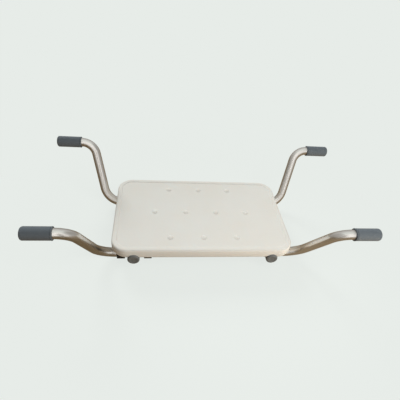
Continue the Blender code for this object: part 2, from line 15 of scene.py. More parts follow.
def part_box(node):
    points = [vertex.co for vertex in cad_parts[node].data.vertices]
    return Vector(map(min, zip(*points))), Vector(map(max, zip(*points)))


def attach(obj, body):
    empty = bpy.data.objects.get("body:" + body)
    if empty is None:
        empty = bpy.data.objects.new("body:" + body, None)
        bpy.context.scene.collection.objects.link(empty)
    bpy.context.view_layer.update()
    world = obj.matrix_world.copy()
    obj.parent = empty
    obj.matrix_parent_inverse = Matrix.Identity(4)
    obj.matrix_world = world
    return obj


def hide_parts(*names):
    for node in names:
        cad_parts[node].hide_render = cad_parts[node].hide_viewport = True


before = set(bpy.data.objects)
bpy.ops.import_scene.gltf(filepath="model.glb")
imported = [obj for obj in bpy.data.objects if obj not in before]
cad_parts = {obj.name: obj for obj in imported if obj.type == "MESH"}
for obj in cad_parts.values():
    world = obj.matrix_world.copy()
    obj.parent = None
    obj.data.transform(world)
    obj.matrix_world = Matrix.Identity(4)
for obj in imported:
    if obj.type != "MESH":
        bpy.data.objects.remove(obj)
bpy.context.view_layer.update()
print("Nodes:", len(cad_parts))

# %% [markdown]
# ## Sizes come from the frame
# Every size that the frame can tell is read from its boxes, so a piece can't drift from the
# node that it stands for. Only a few shape values are written here, such as the radii of the
# bends, because a box doesn't hold them.

# %% Read the sizes of the main pieces
TOUCH_GAP = 0.0003
DOME_HEIGHT = 0.0026
PANEL_DEPTH = 0.0009


def middle(node):
    """Middle of a node's box."""
    low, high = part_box(node)
    return (low + high) / 2


def extent(node):
    """Size of a node's box along each axis."""
    low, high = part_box(node)
    return high - low


seat_low, seat_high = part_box("seat_board")
seat_size = seat_high - seat_low
panel_level = seat_high.z - DOME_HEIGHT
seat_top = panel_level + PANEL_DEPTH
tube_radius = extent("cross_tube_left").x / 2
arm_line = middle("joining_tube_rear")
grip_axis = middle("grip_rear_right")
print("Seat %.0f x %.0f mm, tube %.0f mm across" % (
    seat_size.x * 1000, seat_size.y * 1000, tube_radius * 2000))

# %% [markdown]
# ## Expressions that build nodes
# Shader maths is easier to read as sums than as boxes and wires. A `Flow` wraps one socket and
# overloads the operators, so `1 - mask * 0.5` adds its own Math nodes. Every other node comes
# from `Sheet.node`, which sets the node's settings first and its sockets afterwards.


# %% A socket that can be used in sums
class Flow:
    """An output socket of a node tree, for use in expressions."""

    def __init__(self, sheet, socket):
        self.sheet = sheet
        self.socket = socket

    def combine(self, operation, first, second):
        return self.sheet.node("ShaderNodeMath", {"operation": operation}, {0: first, 1: second})

    def __add__(self, other):
        return self.combine("ADD", self, other)

    def __rsub__(self, other):
        return self.combine("SUBTRACT", other, self)

    def __mul__(self, other):
        return self.combine("MULTIPLY", self, other)

    def __truediv__(self, other):
        return self.combine("DIVIDE", self, other)

    def __pow__(self, other):
        return self.combine("POWER", self, other)

    __radd__ = __add__
    __rmul__ = __mul__


# %% A node tree that is written as calls
class Sheet:
    """A node tree, with one method that adds a node."""

    def __init__(self, tree):
        self.tree = tree

    def pick(self, sockets, key):
        """A socket by its number, its identifier or its name."""
        if isinstance(key, int):
            return sockets[key]
        for socket in sockets:
            if socket.identifier == key:
                return socket
        return next(socket for socket in sockets if socket.name == key and socket.enabled)

    def node(self, kind, settings=None, inputs=None, output=0):
        """Add a node, and return one of its outputs as a Flow."""
        made = self.tree.nodes.new(kind)
        for key, value in (settings or {}).items():
            setattr(made, key, value)
        for key, value in (inputs or {}).items():
            for part in value if isinstance(value, list) else [value]:
                self.feed(self.pick(made.inputs, key), part)
        return Flow(self, self.pick(made.outputs, output)) if made.outputs else None

    def feed(self, socket, value):
        """Link a Flow to a socket, or set the socket's own value."""
        if isinstance(value, Flow):
            self.tree.links.new(value.socket, socket)
        elif socket.type == "RGBA" and len(value) == 3:
            socket.default_value = (*value, 1.0)
        else:
            socket.default_value = value

    def object_place(self):
        """Object coordinates, in metres."""
        return self.node("ShaderNodeTexCoord", {}, {}, "Object")

    def blend(self, amount, first, second):
        """A colour between two colours."""
        inputs = {"Factor_Float": amount, "A_Color": first, "B_Color": second}
        return self.node("ShaderNodeMix", {"data_type": "RGBA"}, inputs, "Result_Color")

    def span(self, value, low, high, start=0.0, end=1.0, kind="LINEAR"):
        """A value mapped from one range to another, and kept inside it."""
        inputs = {"Value": value, "From Min": low, "From Max": high, "To Min": start, "To Max": end}
        return self.node("ShaderNodeMapRange", {"clamp": True, "interpolation_type": kind}, inputs)

    def stretch(self, place, scale):
        """A vector multiplied by a different number along each axis."""
        return self.node("ShaderNodeVectorMath", {"operation": "MULTIPLY"}, {0: place, 1: scale})

    def length(self, vector):
        """How long a vector is."""
        return self.node("ShaderNodeVectorMath", {"operation": "LENGTH"}, {0: vector}, "Value")

    def capped(self, value):
        """A value, or one where it is more than one."""
        return self.node("ShaderNodeMath", {"operation": "MINIMUM"}, {0: value, 1: 1.0})


print("Expressions ready")

# %% [markdown]
# ## Finishes
# A `Finish` is a material with one Principled shader. Its constants go straight on the shader's
# own sockets, and only what varies over the surface is wired. Most textures read Object
# coordinates, in metres, so a fine grain has the same size on every piece.


# %% The class for a finish
class Finish(Sheet):
    """A material with one Principled shader, wired by expressions."""

    def __init__(self, name, constants):
        self.material = bpy.data.materials.new(name + "_finish")
        self.material.use_nodes = True
        super().__init__(self.material.node_tree)
        self.shader = self.tree.nodes["Principled BSDF"]
        for key, value in constants.items():
            self.feed(self.shader.inputs[key], value)
        self.place = self.object_place()

    def wire(self, key, value):
        """Link what varies over the surface to one of the shader's sockets."""
        self.feed(self.shader.inputs[key], value)

    def grain(self, size, detail=2.0, roughness=0.5, place=None):
        """Noise whose lumps are about one size across, in metres, with a middle of 0.5."""
        inputs = {"Vector": place or self.place, "Scale": 1.0 / size, "Detail": detail,
                  "Roughness": roughness}
        return self.node("ShaderNodeTexNoise", {"noise_dimensions": "3D"}, inputs)

    def relief(self, height, depth, strength):
        """Wire a height to the normal, with its depth in metres."""
        inputs = {"Height": height, "Distance": depth, "Strength": strength}
        self.wire("Normal", self.node("ShaderNodeBump", {}, inputs))


print("Finish ready")

# %% [markdown]
# ### The seat's plastic
# The seat is blow-moulded polyethylene: warm off-white, faintly waxy, and never quite even. The
# mould's fine sandblasted texture breaks up the gloss, broad clouds shift the tone a little, and
# years of use polish some patches. A little light enters the plastic, so the shader has a small
# constant share of subsurface.

# %% Seat plastic
SEAT_TONE = (0.684, 0.682, 0.640)
SEAT_WARM = (0.676, 0.660, 0.606)
MOULD_GRAIN = 0.0007


def make_seat_plastic():
    finish = Finish("seat_plastic", {
        "IOR": 1.5, "Specular IOR Level": 0.42, "Subsurface Weight": 0.12,
        "Subsurface Radius": (0.006, 0.004, 0.003), "Subsurface Scale": 1.0})
    clouds = finish.grain(0.11, 3.0)
    flecks = finish.grain(0.0016, 1.0)
    polish = finish.grain(0.045, 4.0, 0.6)
    mould = finish.grain(MOULD_GRAIN, 2.0)
    waves = finish.grain(0.035, 1.0)
    tone = finish.span(clouds, 0.35, 0.65) * 0.8 + finish.span(flecks, 0.62, 0.75) * 0.2
    finish.wire("Base Color", finish.blend(tone, SEAT_TONE, SEAT_WARM))
    finish.wire("Roughness", finish.span(polish, 0.3, 0.7, 0.40, 0.52) + mould * 0.06)
    finish.relief(mould * 0.35 + waves * 1.0, 0.00020, 0.7)
    return finish.material


seat_plastic = make_seat_plastic()
print("Seat plastic:", len(seat_plastic.node_tree.nodes), "nodes")

# %% [markdown]
# ### Satin aluminium
# The tube is drawn, so its marks run along it and follow each bend. Object coordinates can't
# turn a corner, so the tubes carry an attribute of their own, `tube_way`: two numbers give the
# place round the tube and the third the distance along it. Stretching noise along that third
# number gives long, fine lines.

# %% Satin aluminium
METAL_TONE = (0.880, 0.862, 0.838)
METAL_SHADE = (0.800, 0.775, 0.742)


def make_satin_aluminium():
    finish = Finish("satin_aluminium", {"Metallic": 1.0})
    way = finish.node("ShaderNodeAttribute", {"attribute_name": "tube_way"}, {}, "Vector")
    fine = finish.grain(1.0, 2.0, 0.6, finish.stretch(way, (34.0, 34.0, 26.0)))
    broad = finish.grain(1.0, 2.0, 0.5, finish.stretch(way, (5.0, 5.0, 9.0)))
    smudge = finish.grain(0.018, 3.0, 0.6)
    finish.wire("Base Color", finish.blend(finish.span(broad, 0.35, 0.7), METAL_TONE, METAL_SHADE))
    finish.wire("Roughness", finish.span(fine, 0.3, 0.7, 0.29, 0.33) + smudge * 0.05)
    finish.relief(fine, 0.000005, 0.6)
    return finish.material


satin_aluminium = make_satin_aluminium()
print("Satin aluminium:", len(satin_aluminium.node_tree.nodes), "nodes")

# %% [markdown]
# ### Soft vinyl, black nylon and plated steel
# These finishes share one recipe, a dark or bright base with a cloud of a second tone, a
# roughness that wanders and a fine grain, so one function makes them from a row of values. Vinyl
# is matte and slightly blue, the caps are a shade warmer, nylon is near black with a faint
# gloss, and zinc plating is bright and a little mottled.


# %% One recipe for the small finishes
def grained_finish(name, base, second, roughness, grain, depth, constants):
    """A finish with two tones, a wandering roughness and a fine raised grain."""
    finish = Finish(name, constants)
    clouds = finish.grain(0.009, 3.0, 0.6)
    grit = finish.grain(grain, 2.0)
    tone = finish.span(clouds, 0.35, 0.65) * 0.7 + finish.span(grit, 0.4, 0.7) * 0.3
    finish.wire("Base Color", finish.blend(tone, base, second))
    finish.wire("Roughness", finish.span(clouds, 0.3, 0.7, roughness - 0.05, roughness + 0.05))
    finish.relief(grit, depth, 0.8)
    return finish.material


grip_vinyl = grained_finish("grip_vinyl", (0.098, 0.117, 0.132), (0.114, 0.133, 0.149), 0.56,
                            0.0008, 0.00008, {"Specular IOR Level": 0.38, "Sheen Weight": 0.08})
cap_vinyl = grained_finish("cap_vinyl", (0.126, 0.133, 0.131), (0.150, 0.157, 0.154), 0.52,
                           0.0008, 0.00006, {"Specular IOR Level": 0.45})
saddle_plastic = grained_finish("saddle_plastic", (0.018, 0.018, 0.017), (0.026, 0.026, 0.025), 0.42,
                                0.0006, 0.00004, {"Specular IOR Level": 0.5})
plated_steel = grained_finish("plated_steel", (0.60, 0.60, 0.58), (0.52, 0.53, 0.53), 0.28,
                              0.0005, 0.000010, {"Metallic": 1.0})
brass = grained_finish("brass", (0.62, 0.47, 0.22), (0.55, 0.40, 0.18), 0.34,
                       0.0005, 0.000010, {"Metallic": 1.0})
print("Small finishes ready")

# %% [markdown]
# ## Making solids
# A turned piece is a profile and a Screw modifier. A flat piece with rounded edges is a filled
# curve with a bevel. Each helper returns a plain mesh whose place is still at the origin, and
# `show` puts it in its place, gives it its finish and ties it to its body and its node.


# %% Helpers for meshes
MERGE_DISTANCE = 0.000005


def loose(name, data):
    """A new object in the scene."""
    made = bpy.data.objects.new(name, data)
    bpy.context.scene.collection.objects.link(made)
    return made


def filled(form, name):
    """A mesh with what a bmesh holds, and the bmesh freed."""
    mesh = bpy.data.meshes.new(name)
    form.to_mesh(mesh)
    form.free()
    return mesh


def baked(source):
    """The mesh of an object as its modifiers leave it, closed up, and the object removed."""
    depsgraph = bpy.context.evaluated_depsgraph_get()
    mesh = bpy.data.meshes.new_from_object(source.evaluated_get(depsgraph))
    bpy.data.objects.remove(source, do_unlink=True)
    form = bmesh.new()
    form.from_mesh(mesh)
    bmesh.ops.remove_doubles(form, verts=form.verts, dist=MERGE_DISTANCE)
    bmesh.ops.recalc_face_normals(form, faces=form.faces)
    form.to_mesh(mesh)
    form.free()
    return mesh


def softened(mesh, degrees=32.0):
    """Smooth shading, with true edges kept sharp."""
    mesh.shade_smooth()
    mesh.set_sharp_from_angle(angle=math.radians(degrees))
    return mesh


def arc(centre, radius, start, end, steps):
    """Points on an arc, from one angle to another, in degrees."""
    points = []
    for step in range(steps + 1):
        angle = math.radians(start + (end - start) * step / steps)
        points.append((centre[0] + radius * math.cos(angle), centre[1] + radius * math.sin(angle)))
    return points


def turned(profile, steps=64):
    """A solid of revolution about Z, from points (radius, height)."""
    mesh = bpy.data.meshes.new("turned")
    edges = [(index, index + 1) for index in range(len(profile) - 1)]
    mesh.from_pydata([(radius, 0.0, height) for radius, height in profile], edges, [])
    source = loose("turned", mesh)
    spin = source.modifiers.new("turn", "SCREW")
    spin.steps = steps
    spin.render_steps = steps
    spin.use_merge_vertices = True
    spin.merge_threshold = MERGE_DISTANCE
    return softened(baked(source))


def rounded_plate(outlines, thickness, edge):
    """A flat plate from closed outlines, with all its edges eased, centred on its thickness."""
    curve = bpy.data.curves.new("plate", "CURVE")
    curve.dimensions = "2D"
    curve.fill_mode = "BOTH"
    curve.extrude = thickness / 2 - edge
    curve.bevel_depth = edge
    curve.bevel_resolution = 1
    curve.offset = -edge
    for outline in outlines:
        spline = curve.splines.new("POLY")
        spline.points.add(len(outline) - 1)
        spline.use_cyclic_u = True
        for knot, point in zip(spline.points, outline):
            knot.co = (*point, 0.0, 1.0)
    return softened(baked(loose("plate", curve)))


def ringed(rings, closed_start=True):
    """A skin through a stack of rings with equal numbers of points, closed at its end."""
    form = bmesh.new()
    stack = [[form.verts.new(point) for point in ring] for ring in rings]
    for upper, lower in zip(stack, stack[1:]):
        for index in range(len(upper)):
            after = (index + 1) % len(upper)
            form.faces.new((upper[index], lower[index], lower[after], upper[after]))
    if closed_start:
        form.faces.new(stack[0])
    form.faces.new(reversed(stack[-1]))
    bmesh.ops.recalc_face_normals(form, faces=form.faces)
    return filled(form, "ringed")


print("Mesh helpers ready")


# %% Cutting, placing and tying pieces
def rod_mesh(radius, low, high, segments=32):
    """An upright bar between two heights."""
    form = bmesh.new()
    bmesh.ops.create_cone(form, cap_ends=True, segments=segments, radius1=radius, radius2=radius,
                          depth=high - low, matrix=Matrix.Translation((0.0, 0.0, (low + high) / 2)))
    return filled(form, "rod")


def carved(mesh, tools, joined=()):
    """A mesh after each tool in turn has cut it, or has been joined to it."""
    source = loose("carved", mesh)
    helpers = [loose("tool", tool) for tool in tools]
    for helper in helpers:
        change = source.modifiers.new("change", "BOOLEAN")
        change.operation = "UNION" if helper.data in joined else "DIFFERENCE"
        change.solver = "EXACT"
        change.object = helper
    result = baked(source)
    for helper in helpers:
        bpy.data.objects.remove(helper, do_unlink=True)
    return softened(result)


def facing(direction):
    """The turn that takes +Z to a direction."""
    return Vector(direction).to_track_quat("Z", "Y").to_matrix().to_4x4()


def show(name, mesh, finish, body, nodes, place=Matrix()):
    """Put a mesh in its place as a piece of the bench, tied to its body, in place of its nodes."""
    mesh.transform(place)
    mesh.name = name
    mesh.materials.clear()
    mesh.materials.append(finish)
    piece = loose(name, mesh)
    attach(piece, body)
    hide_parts(*nodes)
    return piece


print("Placing helpers ready")

# %% [markdown]
# ## Recipes in Geometry Nodes
# What repeats or follows a path is grown by a node tree. A `Recipe` is such a tree with named
# inputs for its sizes. It starts from a mesh, ends in Realize Instances and Set Material, and
# `grow` returns what it made as a plain mesh, with the modifier gone.


# %% The class for a recipe
class Recipe(Sheet):
    """A Geometry Nodes tree with named inputs."""

    KINDS = {int: "NodeSocketInt", float: "NodeSocketFloat", bpy.types.Object: "NodeSocketObject",
             bpy.types.Material: "NodeSocketMaterial"}

    def __init__(self, name, sizes):
        super().__init__(bpy.data.node_groups.new(name, "GeometryNodeTree"))
        face = self.tree.interface
        face.new_socket("Geometry", in_out="INPUT", socket_type="NodeSocketGeometry")
        face.new_socket("Geometry", in_out="OUTPUT", socket_type="NodeSocketGeometry")
        self.sizes = sizes
        self.keys = {}
        for label, value in sizes.items():
            socket = face.new_socket(label, in_out="INPUT", socket_type=self.KINDS[type(value)])
            self.keys[label] = socket.identifier
        source = self.tree.nodes.new("NodeGroupInput")
        self.given = {socket.name: Flow(self, socket) for socket in source.outputs if socket.name}

    def __getitem__(self, label):
        return self.given[label]

    def vector(self, x, y, z):
        """A vector from three numbers."""
        return self.node("ShaderNodeCombineXYZ", {}, {0: x, 1: y, 2: z})

    def join(self, parts):
        """Several geometries as one."""
        return self.node("GeometryNodeJoinGeometry", {}, {0: parts})

    def copies(self, points, item):
        """One geometry set on every point, as plain geometry."""
        placed = self.node("GeometryNodeInstanceOnPoints", {}, {"Points": points, "Instance": item})
        return self.node("GeometryNodeRealizeInstances", {}, {"Geometry": placed})

    def circle(self, sides, radius):
        """A circle as a curve."""
        return self.node("GeometryNodeCurvePrimitiveCircle", {"mode": "RADIUS"},
                         {"Resolution": sides, "Radius": radius})

    def named(self, label):
        """A number that is stored on the points."""
        settings = {"data_type": "FLOAT"}
        return self.node("GeometryNodeInputNamedAttribute", settings, {"Name": label}, "Attribute")

    def store(self, geometry, label, value, kind="FLOAT"):
        """Geometry whose points keep a value under a name."""
        settings = {"data_type": kind, "domain": "POINT"}
        return self.node("GeometryNodeStoreNamedAttribute", settings,
                         {"Geometry": geometry, "Name": label, "Value": value})

    def close(self, geometry):
        """End the tree with plain geometry that carries the finish."""
        smooth = self.node("GeometryNodeSetShadeSmooth", {}, {"Geometry": geometry})
        whole = self.node("GeometryNodeRealizeInstances", {}, {"Geometry": smooth})
        coated = self.node("GeometryNodeSetMaterial", {},
                           {"Geometry": whole, "Material": self["Finish"]})
        self.feed(self.tree.nodes.new("NodeGroupOutput").inputs[0], coated)

    def grow(self, start=None, **changed):
        """Run the tree, with some of its sizes changed, and return a plain mesh."""
        source = loose("growing", start or bpy.data.meshes.new("start"))
        change = source.modifiers.new("grow", "NODES")
        change.node_group = self.tree
        for label, value in self.sizes.items():
            change[self.keys[label]] = changed.get(label, value)
        return baked(source)


print("Recipe ready")

# %% [markdown]
# ## The seat
# The seat is one moulding with soft edges all round, a flat rim, a small step down to the
# sitting panel, and ten domes that keep wet skin from slipping. Its outer skin follows a rule:
# each level is a rounded rectangle, drawn in by some distance. So the skin is a stack of rings,
# and the profile below gives each ring's distance inwards and its height.

# %% Profile of the seat's edge
SEAT_CORNER_RADIUS = 0.038
SEAT_TOP_RADIUS = 0.005
SEAT_BOTTOM_RADIUS = 0.010
RIM_FLAT = 0.006
PANEL_STEP_WIDTH = 0.0016
PARTING_LINE = 0.00012
PARTING_WIDTH = 0.0008
PANEL_STEP_ROWS = 8
EDGE_STEPS = 14
CORNER_STEPS = 22


def smooth_share(share):
    """A share from 0 to 1 that starts and ends level."""
    return share * share * (3.0 - 2.0 * share)


def seat_edge_profile():
    """Distance inwards and height of each ring, from the panel over the rim to the underside."""
    step_start = SEAT_TOP_RADIUS + RIM_FLAT + PANEL_STEP_WIDTH
    profile = [(step_start + PANEL_STEP_WIDTH, panel_level)]
    for index in range(PANEL_STEP_ROWS + 1):
        share = index / PANEL_STEP_ROWS
        profile.append((step_start - PANEL_STEP_WIDTH * share,
                        panel_level + PANEL_DEPTH * smooth_share(share)))
    upper = seat_top - SEAT_TOP_RADIUS
    lower = seat_low.z + SEAT_BOTTOM_RADIUS
    parting = (upper + lower) / 2
    profile += arc((SEAT_TOP_RADIUS, upper), SEAT_TOP_RADIUS, 90.0, 180.0, EDGE_STEPS)
    profile += [(0.0, parting + PARTING_WIDTH / 2), (-PARTING_LINE, parting),
                (0.0, parting - PARTING_WIDTH / 2)]
    return profile + arc((SEAT_BOTTOM_RADIUS, lower), SEAT_BOTTOM_RADIUS, 180.0, 270.0, EDGE_STEPS)


print("Rings in the seat's skin:", len(seat_edge_profile()))


# %% The seat's skin, open over the sitting panel
def seat_ring(inset, height):
    """Points round the seat at one height, drawn in by some distance, anticlockwise."""
    radius = SEAT_CORNER_RADIUS - inset
    x = seat_size.x / 2 - inset - radius
    y = seat_size.y / 2 - inset - radius
    ring = []
    for corner, start in (((x, y), 0.0), ((-x, y), 90.0), ((-x, -y), 180.0), ((x, -y), 270.0)):
        ring += [(*point, height) for point in arc(corner, radius, start, start + 90.0, CORNER_STEPS)]
    return ring


skin = ringed([seat_ring(inset, height) for inset, height in seat_edge_profile()], False)
print("Seat skin:", len(skin.polygons), "faces")

# %% [markdown]
# The domes repeat, so a recipe sets them out in rows of three, four and three. They could be
# spheres pushed into the panel, but then each would meet it in a hard crease. Here the panel is
# filled with round holes in it, and each hole takes a dome that runs out into a flat margin, so
# the skin goes on without a seam.


# %% Recipe for the panel and its domes
PANEL_MERGE_DISTANCE = 0.00001


def make_dome_recipe():
    recipe = Recipe("panel_with_domes", {
        "Panel level": panel_level, "Dome radius": 0.0078, "Dome height": DOME_HEIGHT,
        "Hole radius": 0.0090, "Row gap": 0.087, "Outer pitch": 0.080, "Middle pitch": 0.078,
        "Shoulder": 1.1, "Sides": 48, "Finish": seat_plastic})
    rows = []
    for count, pitch, side in ((3, "Outer pitch", -1.0), (4, "Middle pitch", 0.0),
                               (3, "Outer pitch", 1.0)):
        start = recipe.vector(recipe[pitch] * (-(count - 1) / 2), recipe["Row gap"] * side,
                              recipe["Panel level"])
        offset = recipe.vector(recipe[pitch], 0.0, 0.0)
        rows.append(recipe.node("GeometryNodeMeshLine", {"mode": "OFFSET"},
                                {"Count": count, "Start Location": start, "Offset": offset}))
    places = recipe.join(rows)
    holes = recipe.copies(places, recipe.circle(recipe["Sides"], recipe["Hole radius"]))
    neighbours = recipe.node("GeometryNodeInputMeshEdgeNeighbors")
    open_edge = recipe.node("FunctionNodeCompare", {"data_type": "INT", "operation": "EQUAL"},
                            {"A_INT": neighbours, "B_INT": 1})
    outline = recipe.node("GeometryNodeMeshToCurve", {},
                          {"Mesh": recipe["Geometry"], "Selection": open_edge})
    panel = recipe.node("GeometryNodeFillCurve", {"mode": "NGONS"},
                        {"Curve": recipe.join([outline, holes])})
    panel = recipe.node("GeometryNodeTransform", {}, {
        "Geometry": panel, "Translation": recipe.vector(0.0, 0.0, recipe["Panel level"])})
    cone = recipe.node("GeometryNodeMeshCone", {"fill_type": "NONE"}, {
        "Vertices": recipe["Sides"], "Side Segments": 24, "Radius Top": 0.0,
        "Radius Bottom": recipe["Hole radius"], "Depth": recipe["Dome height"]})
    flat = recipe.stretch(recipe.node("GeometryNodeInputPosition"), (1.0, 1.0, 0.0))
    share = recipe.capped(recipe.length(flat) / recipe["Dome radius"])
    rise = (1.0 - share ** 2.0) ** recipe["Shoulder"] * recipe["Dome height"]
    lifted = recipe.node("ShaderNodeVectorMath", {"operation": "ADD"},
                         {0: flat, 1: recipe.vector(0.0, 0.0, rise)})
    dome = recipe.node("GeometryNodeSetPosition", {}, {"Geometry": cone, "Position": lifted})
    whole = recipe.join([recipe["Geometry"], panel, recipe.copies(places, dome)])
    recipe.close(recipe.node("GeometryNodeMergeByDistance", {},
                             {"Geometry": whole, "Distance": PANEL_MERGE_DISTANCE}))
    return recipe


seat_mesh = make_dome_recipe().grow(skin)
print("Seat with domes:", len(seat_mesh.polygons), "faces")

# %% [markdown]
# The underside has two grooves for the cross tubes, wider at their ends for the caps, and holes
# for the inserts and the saddles' screws. They are cut last, from turned and round tools.

# %% Cut the underside and show the seat
CUT_OVERSHOOT = 0.001
SADDLE_SCREW_RADIUS = 0.0019
cap_radius = extent("cross_tube_cap_front_left").x / 2
cap_length = extent("cross_tube_cap_front_left").y
cross_tube_x = middle("cross_tube_right").x
cross_tube_z = middle("cross_tube_right").z


def groove_tool(side):
    """A turned bar that cuts the groove of one cross tube."""
    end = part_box("cross_tube_cap_rear_left")[1].y
    step = end - cap_length - TOUCH_GAP
    wide = cap_radius + TOUCH_GAP
    narrow = tube_radius + TOUCH_GAP
    mesh = turned([(0.0, end), (wide, end), (wide, step), (narrow, step),
                   (narrow, -step), (wide, -step), (wide, -end), (0.0, -end)])
    mesh.transform(Matrix.Translation((side * cross_tube_x, 0.0, cross_tube_z)) @ facing((0, 1, 0)))
    return mesh


def bars(nodes, radius, low, high):
    """Upright bars at the places of some fasteners, as one tool."""
    form = bmesh.new()
    for node in nodes:
        bar = rod_mesh(radius, low, high)
        bar.transform(Matrix.Translation((*middle(node).xy, 0.0)))
        form.from_mesh(bar)
    return filled(form, "bars")


def seat_holes(nodes, radius):
    """A tool for the holes round fasteners that all reach the same height in the seat."""
    low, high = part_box(nodes[0])
    return bars(nodes, radius + TOUCH_GAP, max(low.z, seat_low.z) - CUT_OVERSHOOT, high.z + TOUCH_GAP)


def nodes_like(start):
    """Names of the nodes that begin alike, in order."""
    return sorted(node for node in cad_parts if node.startswith(start))


insert_nodes = nodes_like("seat_insert")
screw_nodes = nodes_like("saddle_screw")
insert_holes = seat_holes(insert_nodes, extent(insert_nodes[0]).x / 2)
screw_holes = seat_holes(screw_nodes, SADDLE_SCREW_RADIUS)
seat_mesh = carved(seat_mesh, [groove_tool(-1), groove_tool(1), insert_holes, screw_holes])
seat = show("seat_moulding", seat_mesh, seat_plastic, "root", ["seat_board"])
print("Seat:", len(seat.data.polygons), "faces")

# %% [markdown]
# ## The tubes
# An arm is a stock tube bent twice. Its axis needs only four points, the two ends and the two
# corners, and a radius at each corner. The recipe rounds the corners, sweeps a circle along the
# axis and stores `tube_way` for the drawn finish. Straight tubes use the same recipe.


# %% Recipe for a bent tube
def make_tube_recipe():
    recipe = Recipe("bent_tube", {"Radius": tube_radius, "Sides": 48, "Steps per bend": 26,
                                  "Finish": satin_aluminium})
    path = recipe.node("GeometryNodeMeshToCurve", {}, {"Mesh": recipe["Geometry"]})
    bent = recipe.node("GeometryNodeFilletCurve", {"mode": "POLY"}, {
        "Curve": path, "Count": recipe["Steps per bend"], "Radius": recipe.named("bend_radius")})
    along = recipe.node("GeometryNodeSplineParameter", {}, {}, "Length")
    bent = recipe.store(bent, "along", along)
    turn = recipe.node("GeometryNodeSplineParameter", {}, {}, "Factor") * (2 * math.pi)
    ring = recipe.store(recipe.circle(recipe["Sides"], recipe["Radius"]), "turn", turn)
    tube = recipe.node("GeometryNodeCurveToMesh", {}, {"Curve": bent, "Profile Curve": ring})
    cosine = recipe.node("ShaderNodeMath", {"operation": "COSINE"}, {0: recipe.named("turn")})
    sine = recipe.node("ShaderNodeMath", {"operation": "SINE"}, {0: recipe.named("turn")})
    way = recipe.vector(cosine, sine, recipe.named("along"))
    recipe.close(recipe.store(tube, "tube_way", way, "FLOAT_VECTOR"))
    return recipe


tube_recipe = make_tube_recipe()
print("Tube recipe:", len(tube_recipe.tree.nodes), "nodes")

# %% Axes of the tubes
TUBE_WALL = 0.0015
LOWER_BEND_RADIUS = 0.049
UPPER_BEND_RADIUS = 0.037
BEND_ANGLE = math.radians(78.0)
BEND_START_GAP = 0.001


def axis_mesh(points, radii=None):
    """A line of points, with the radius of the bend at each."""
    mesh = bpy.data.meshes.new("axis")
    mesh.from_pydata(points, [(index, index + 1) for index in range(len(points) - 1)], [])
    radius = mesh.attributes.new("bend_radius", "FLOAT", "POINT")
    radius.data.foreach_set("value", radii or [0.0] * len(points))
    return mesh


def tube_mesh(points, radii=None, **changed):
    """A hollow tube along an axis."""
    source = loose("tube", tube_recipe.grow(axis_mesh(points, radii), **changed))
    shell = source.modifiers.new("wall", "SOLIDIFY")
    shell.thickness = TUBE_WALL
    shell.offset = -1.0
    shell.use_even_offset = True
    return softened(baked(source), 60.0)


def arm_axis(outward, toward):
    """The four points of an arm's axis, in the bench's own frame."""
    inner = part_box("arm_tube_rear_right")[0].x
    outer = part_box("arm_tube_rear_right")[1].x
    bend_start = -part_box("guide_saddle_rear_outer")[0].x + BEND_START_GAP
    lower_corner = bend_start + LOWER_BEND_RADIUS * math.tan(BEND_ANGLE / 2)
    rise = math.hypot(grip_axis.y - arm_line.y, grip_axis.z - arm_line.z)
    upper_corner = lower_corner + rise / math.tan(BEND_ANGLE)
    low = (toward * arm_line.y, arm_line.z)
    high = (toward * grip_axis.y, grip_axis.z)
    return [(outward * inner, *low), (outward * lower_corner, *low),
            (outward * upper_corner, *high), (outward * outer, *high)]


print("Right rear arm's axis, mm:", [[round(c * 1000) for c in p] for p in arm_axis(1, 1)])


# %% [markdown]
# The left arms ride on bodies of their own, because they slide. The right arms belong to the
# root. Bolts and rivets go through the right arms and the cross tubes, so those are drilled.

# %% Show the arms
ENDS = (("front", -1), ("rear", 1))
SIDES = (("left", -1), ("right", 1))
BOLT_HOLE_RADIUS = 0.0033
RIVET_HOLE_RADIUS = 0.0019
below = arm_line.z - 2 * tube_radius
for end, toward in ENDS:
    rivets = nodes_like("joining_rivet_" + end)
    for side, outward in SIDES:
        mesh = tube_mesh(arm_axis(outward, toward), [0.0, LOWER_BEND_RADIUS, UPPER_BEND_RADIUS, 0.0])
        body = "left_%s_arm" % end if side == "left" else "root"
        if side == "right":
            bolt_drill = bars(["crossing_bolt_" + end], BOLT_HOLE_RADIUS, below, cross_tube_z)
            rivet_drill = bars(rivets, RIVET_HOLE_RADIUS, below, arm_line.z)
            mesh = carved(mesh, [bolt_drill, rivet_drill])
        node = "arm_tube_%s_%s" % (end, side)
        arm = show("%s_%s_arm" % (end, side), mesh, satin_aluminium, body, [node])
    low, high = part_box("joining_tube_" + end)
    line = middle("joining_tube_" + end).yz
    mesh = tube_mesh([(low.x, *line), (high.x, *line)], Radius=(high.z - low.z) / 2)
    mesh = carved(mesh, [bars(rivets, RIVET_HOLE_RADIUS, below, arm_line.z)])
    show("inner_tube_" + end, mesh, satin_aluminium, "root", ["joining_tube_" + end])
print("Arms and inner tubes:", len(arm.data.polygons), "faces in an arm")

# %% Show the cross tubes
above = seat_low.z + 2 * tube_radius
for side, outward in SIDES:
    low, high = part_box("cross_tube_" + side)
    bar_axis = [(outward * cross_tube_x, y, cross_tube_z) for y in (low.y, high.y)]
    kind = "crossing_bolt" if side == "right" else "cross_tube_screw"
    mesh = carved(tube_mesh(bar_axis), [bars(nodes_like(kind), BOLT_HOLE_RADIUS, arm_line.z, above)])
    show("seat_bar_" + side, mesh, satin_aluminium, "root", ["cross_tube_" + side])
print("Cross tubes drilled and shown")

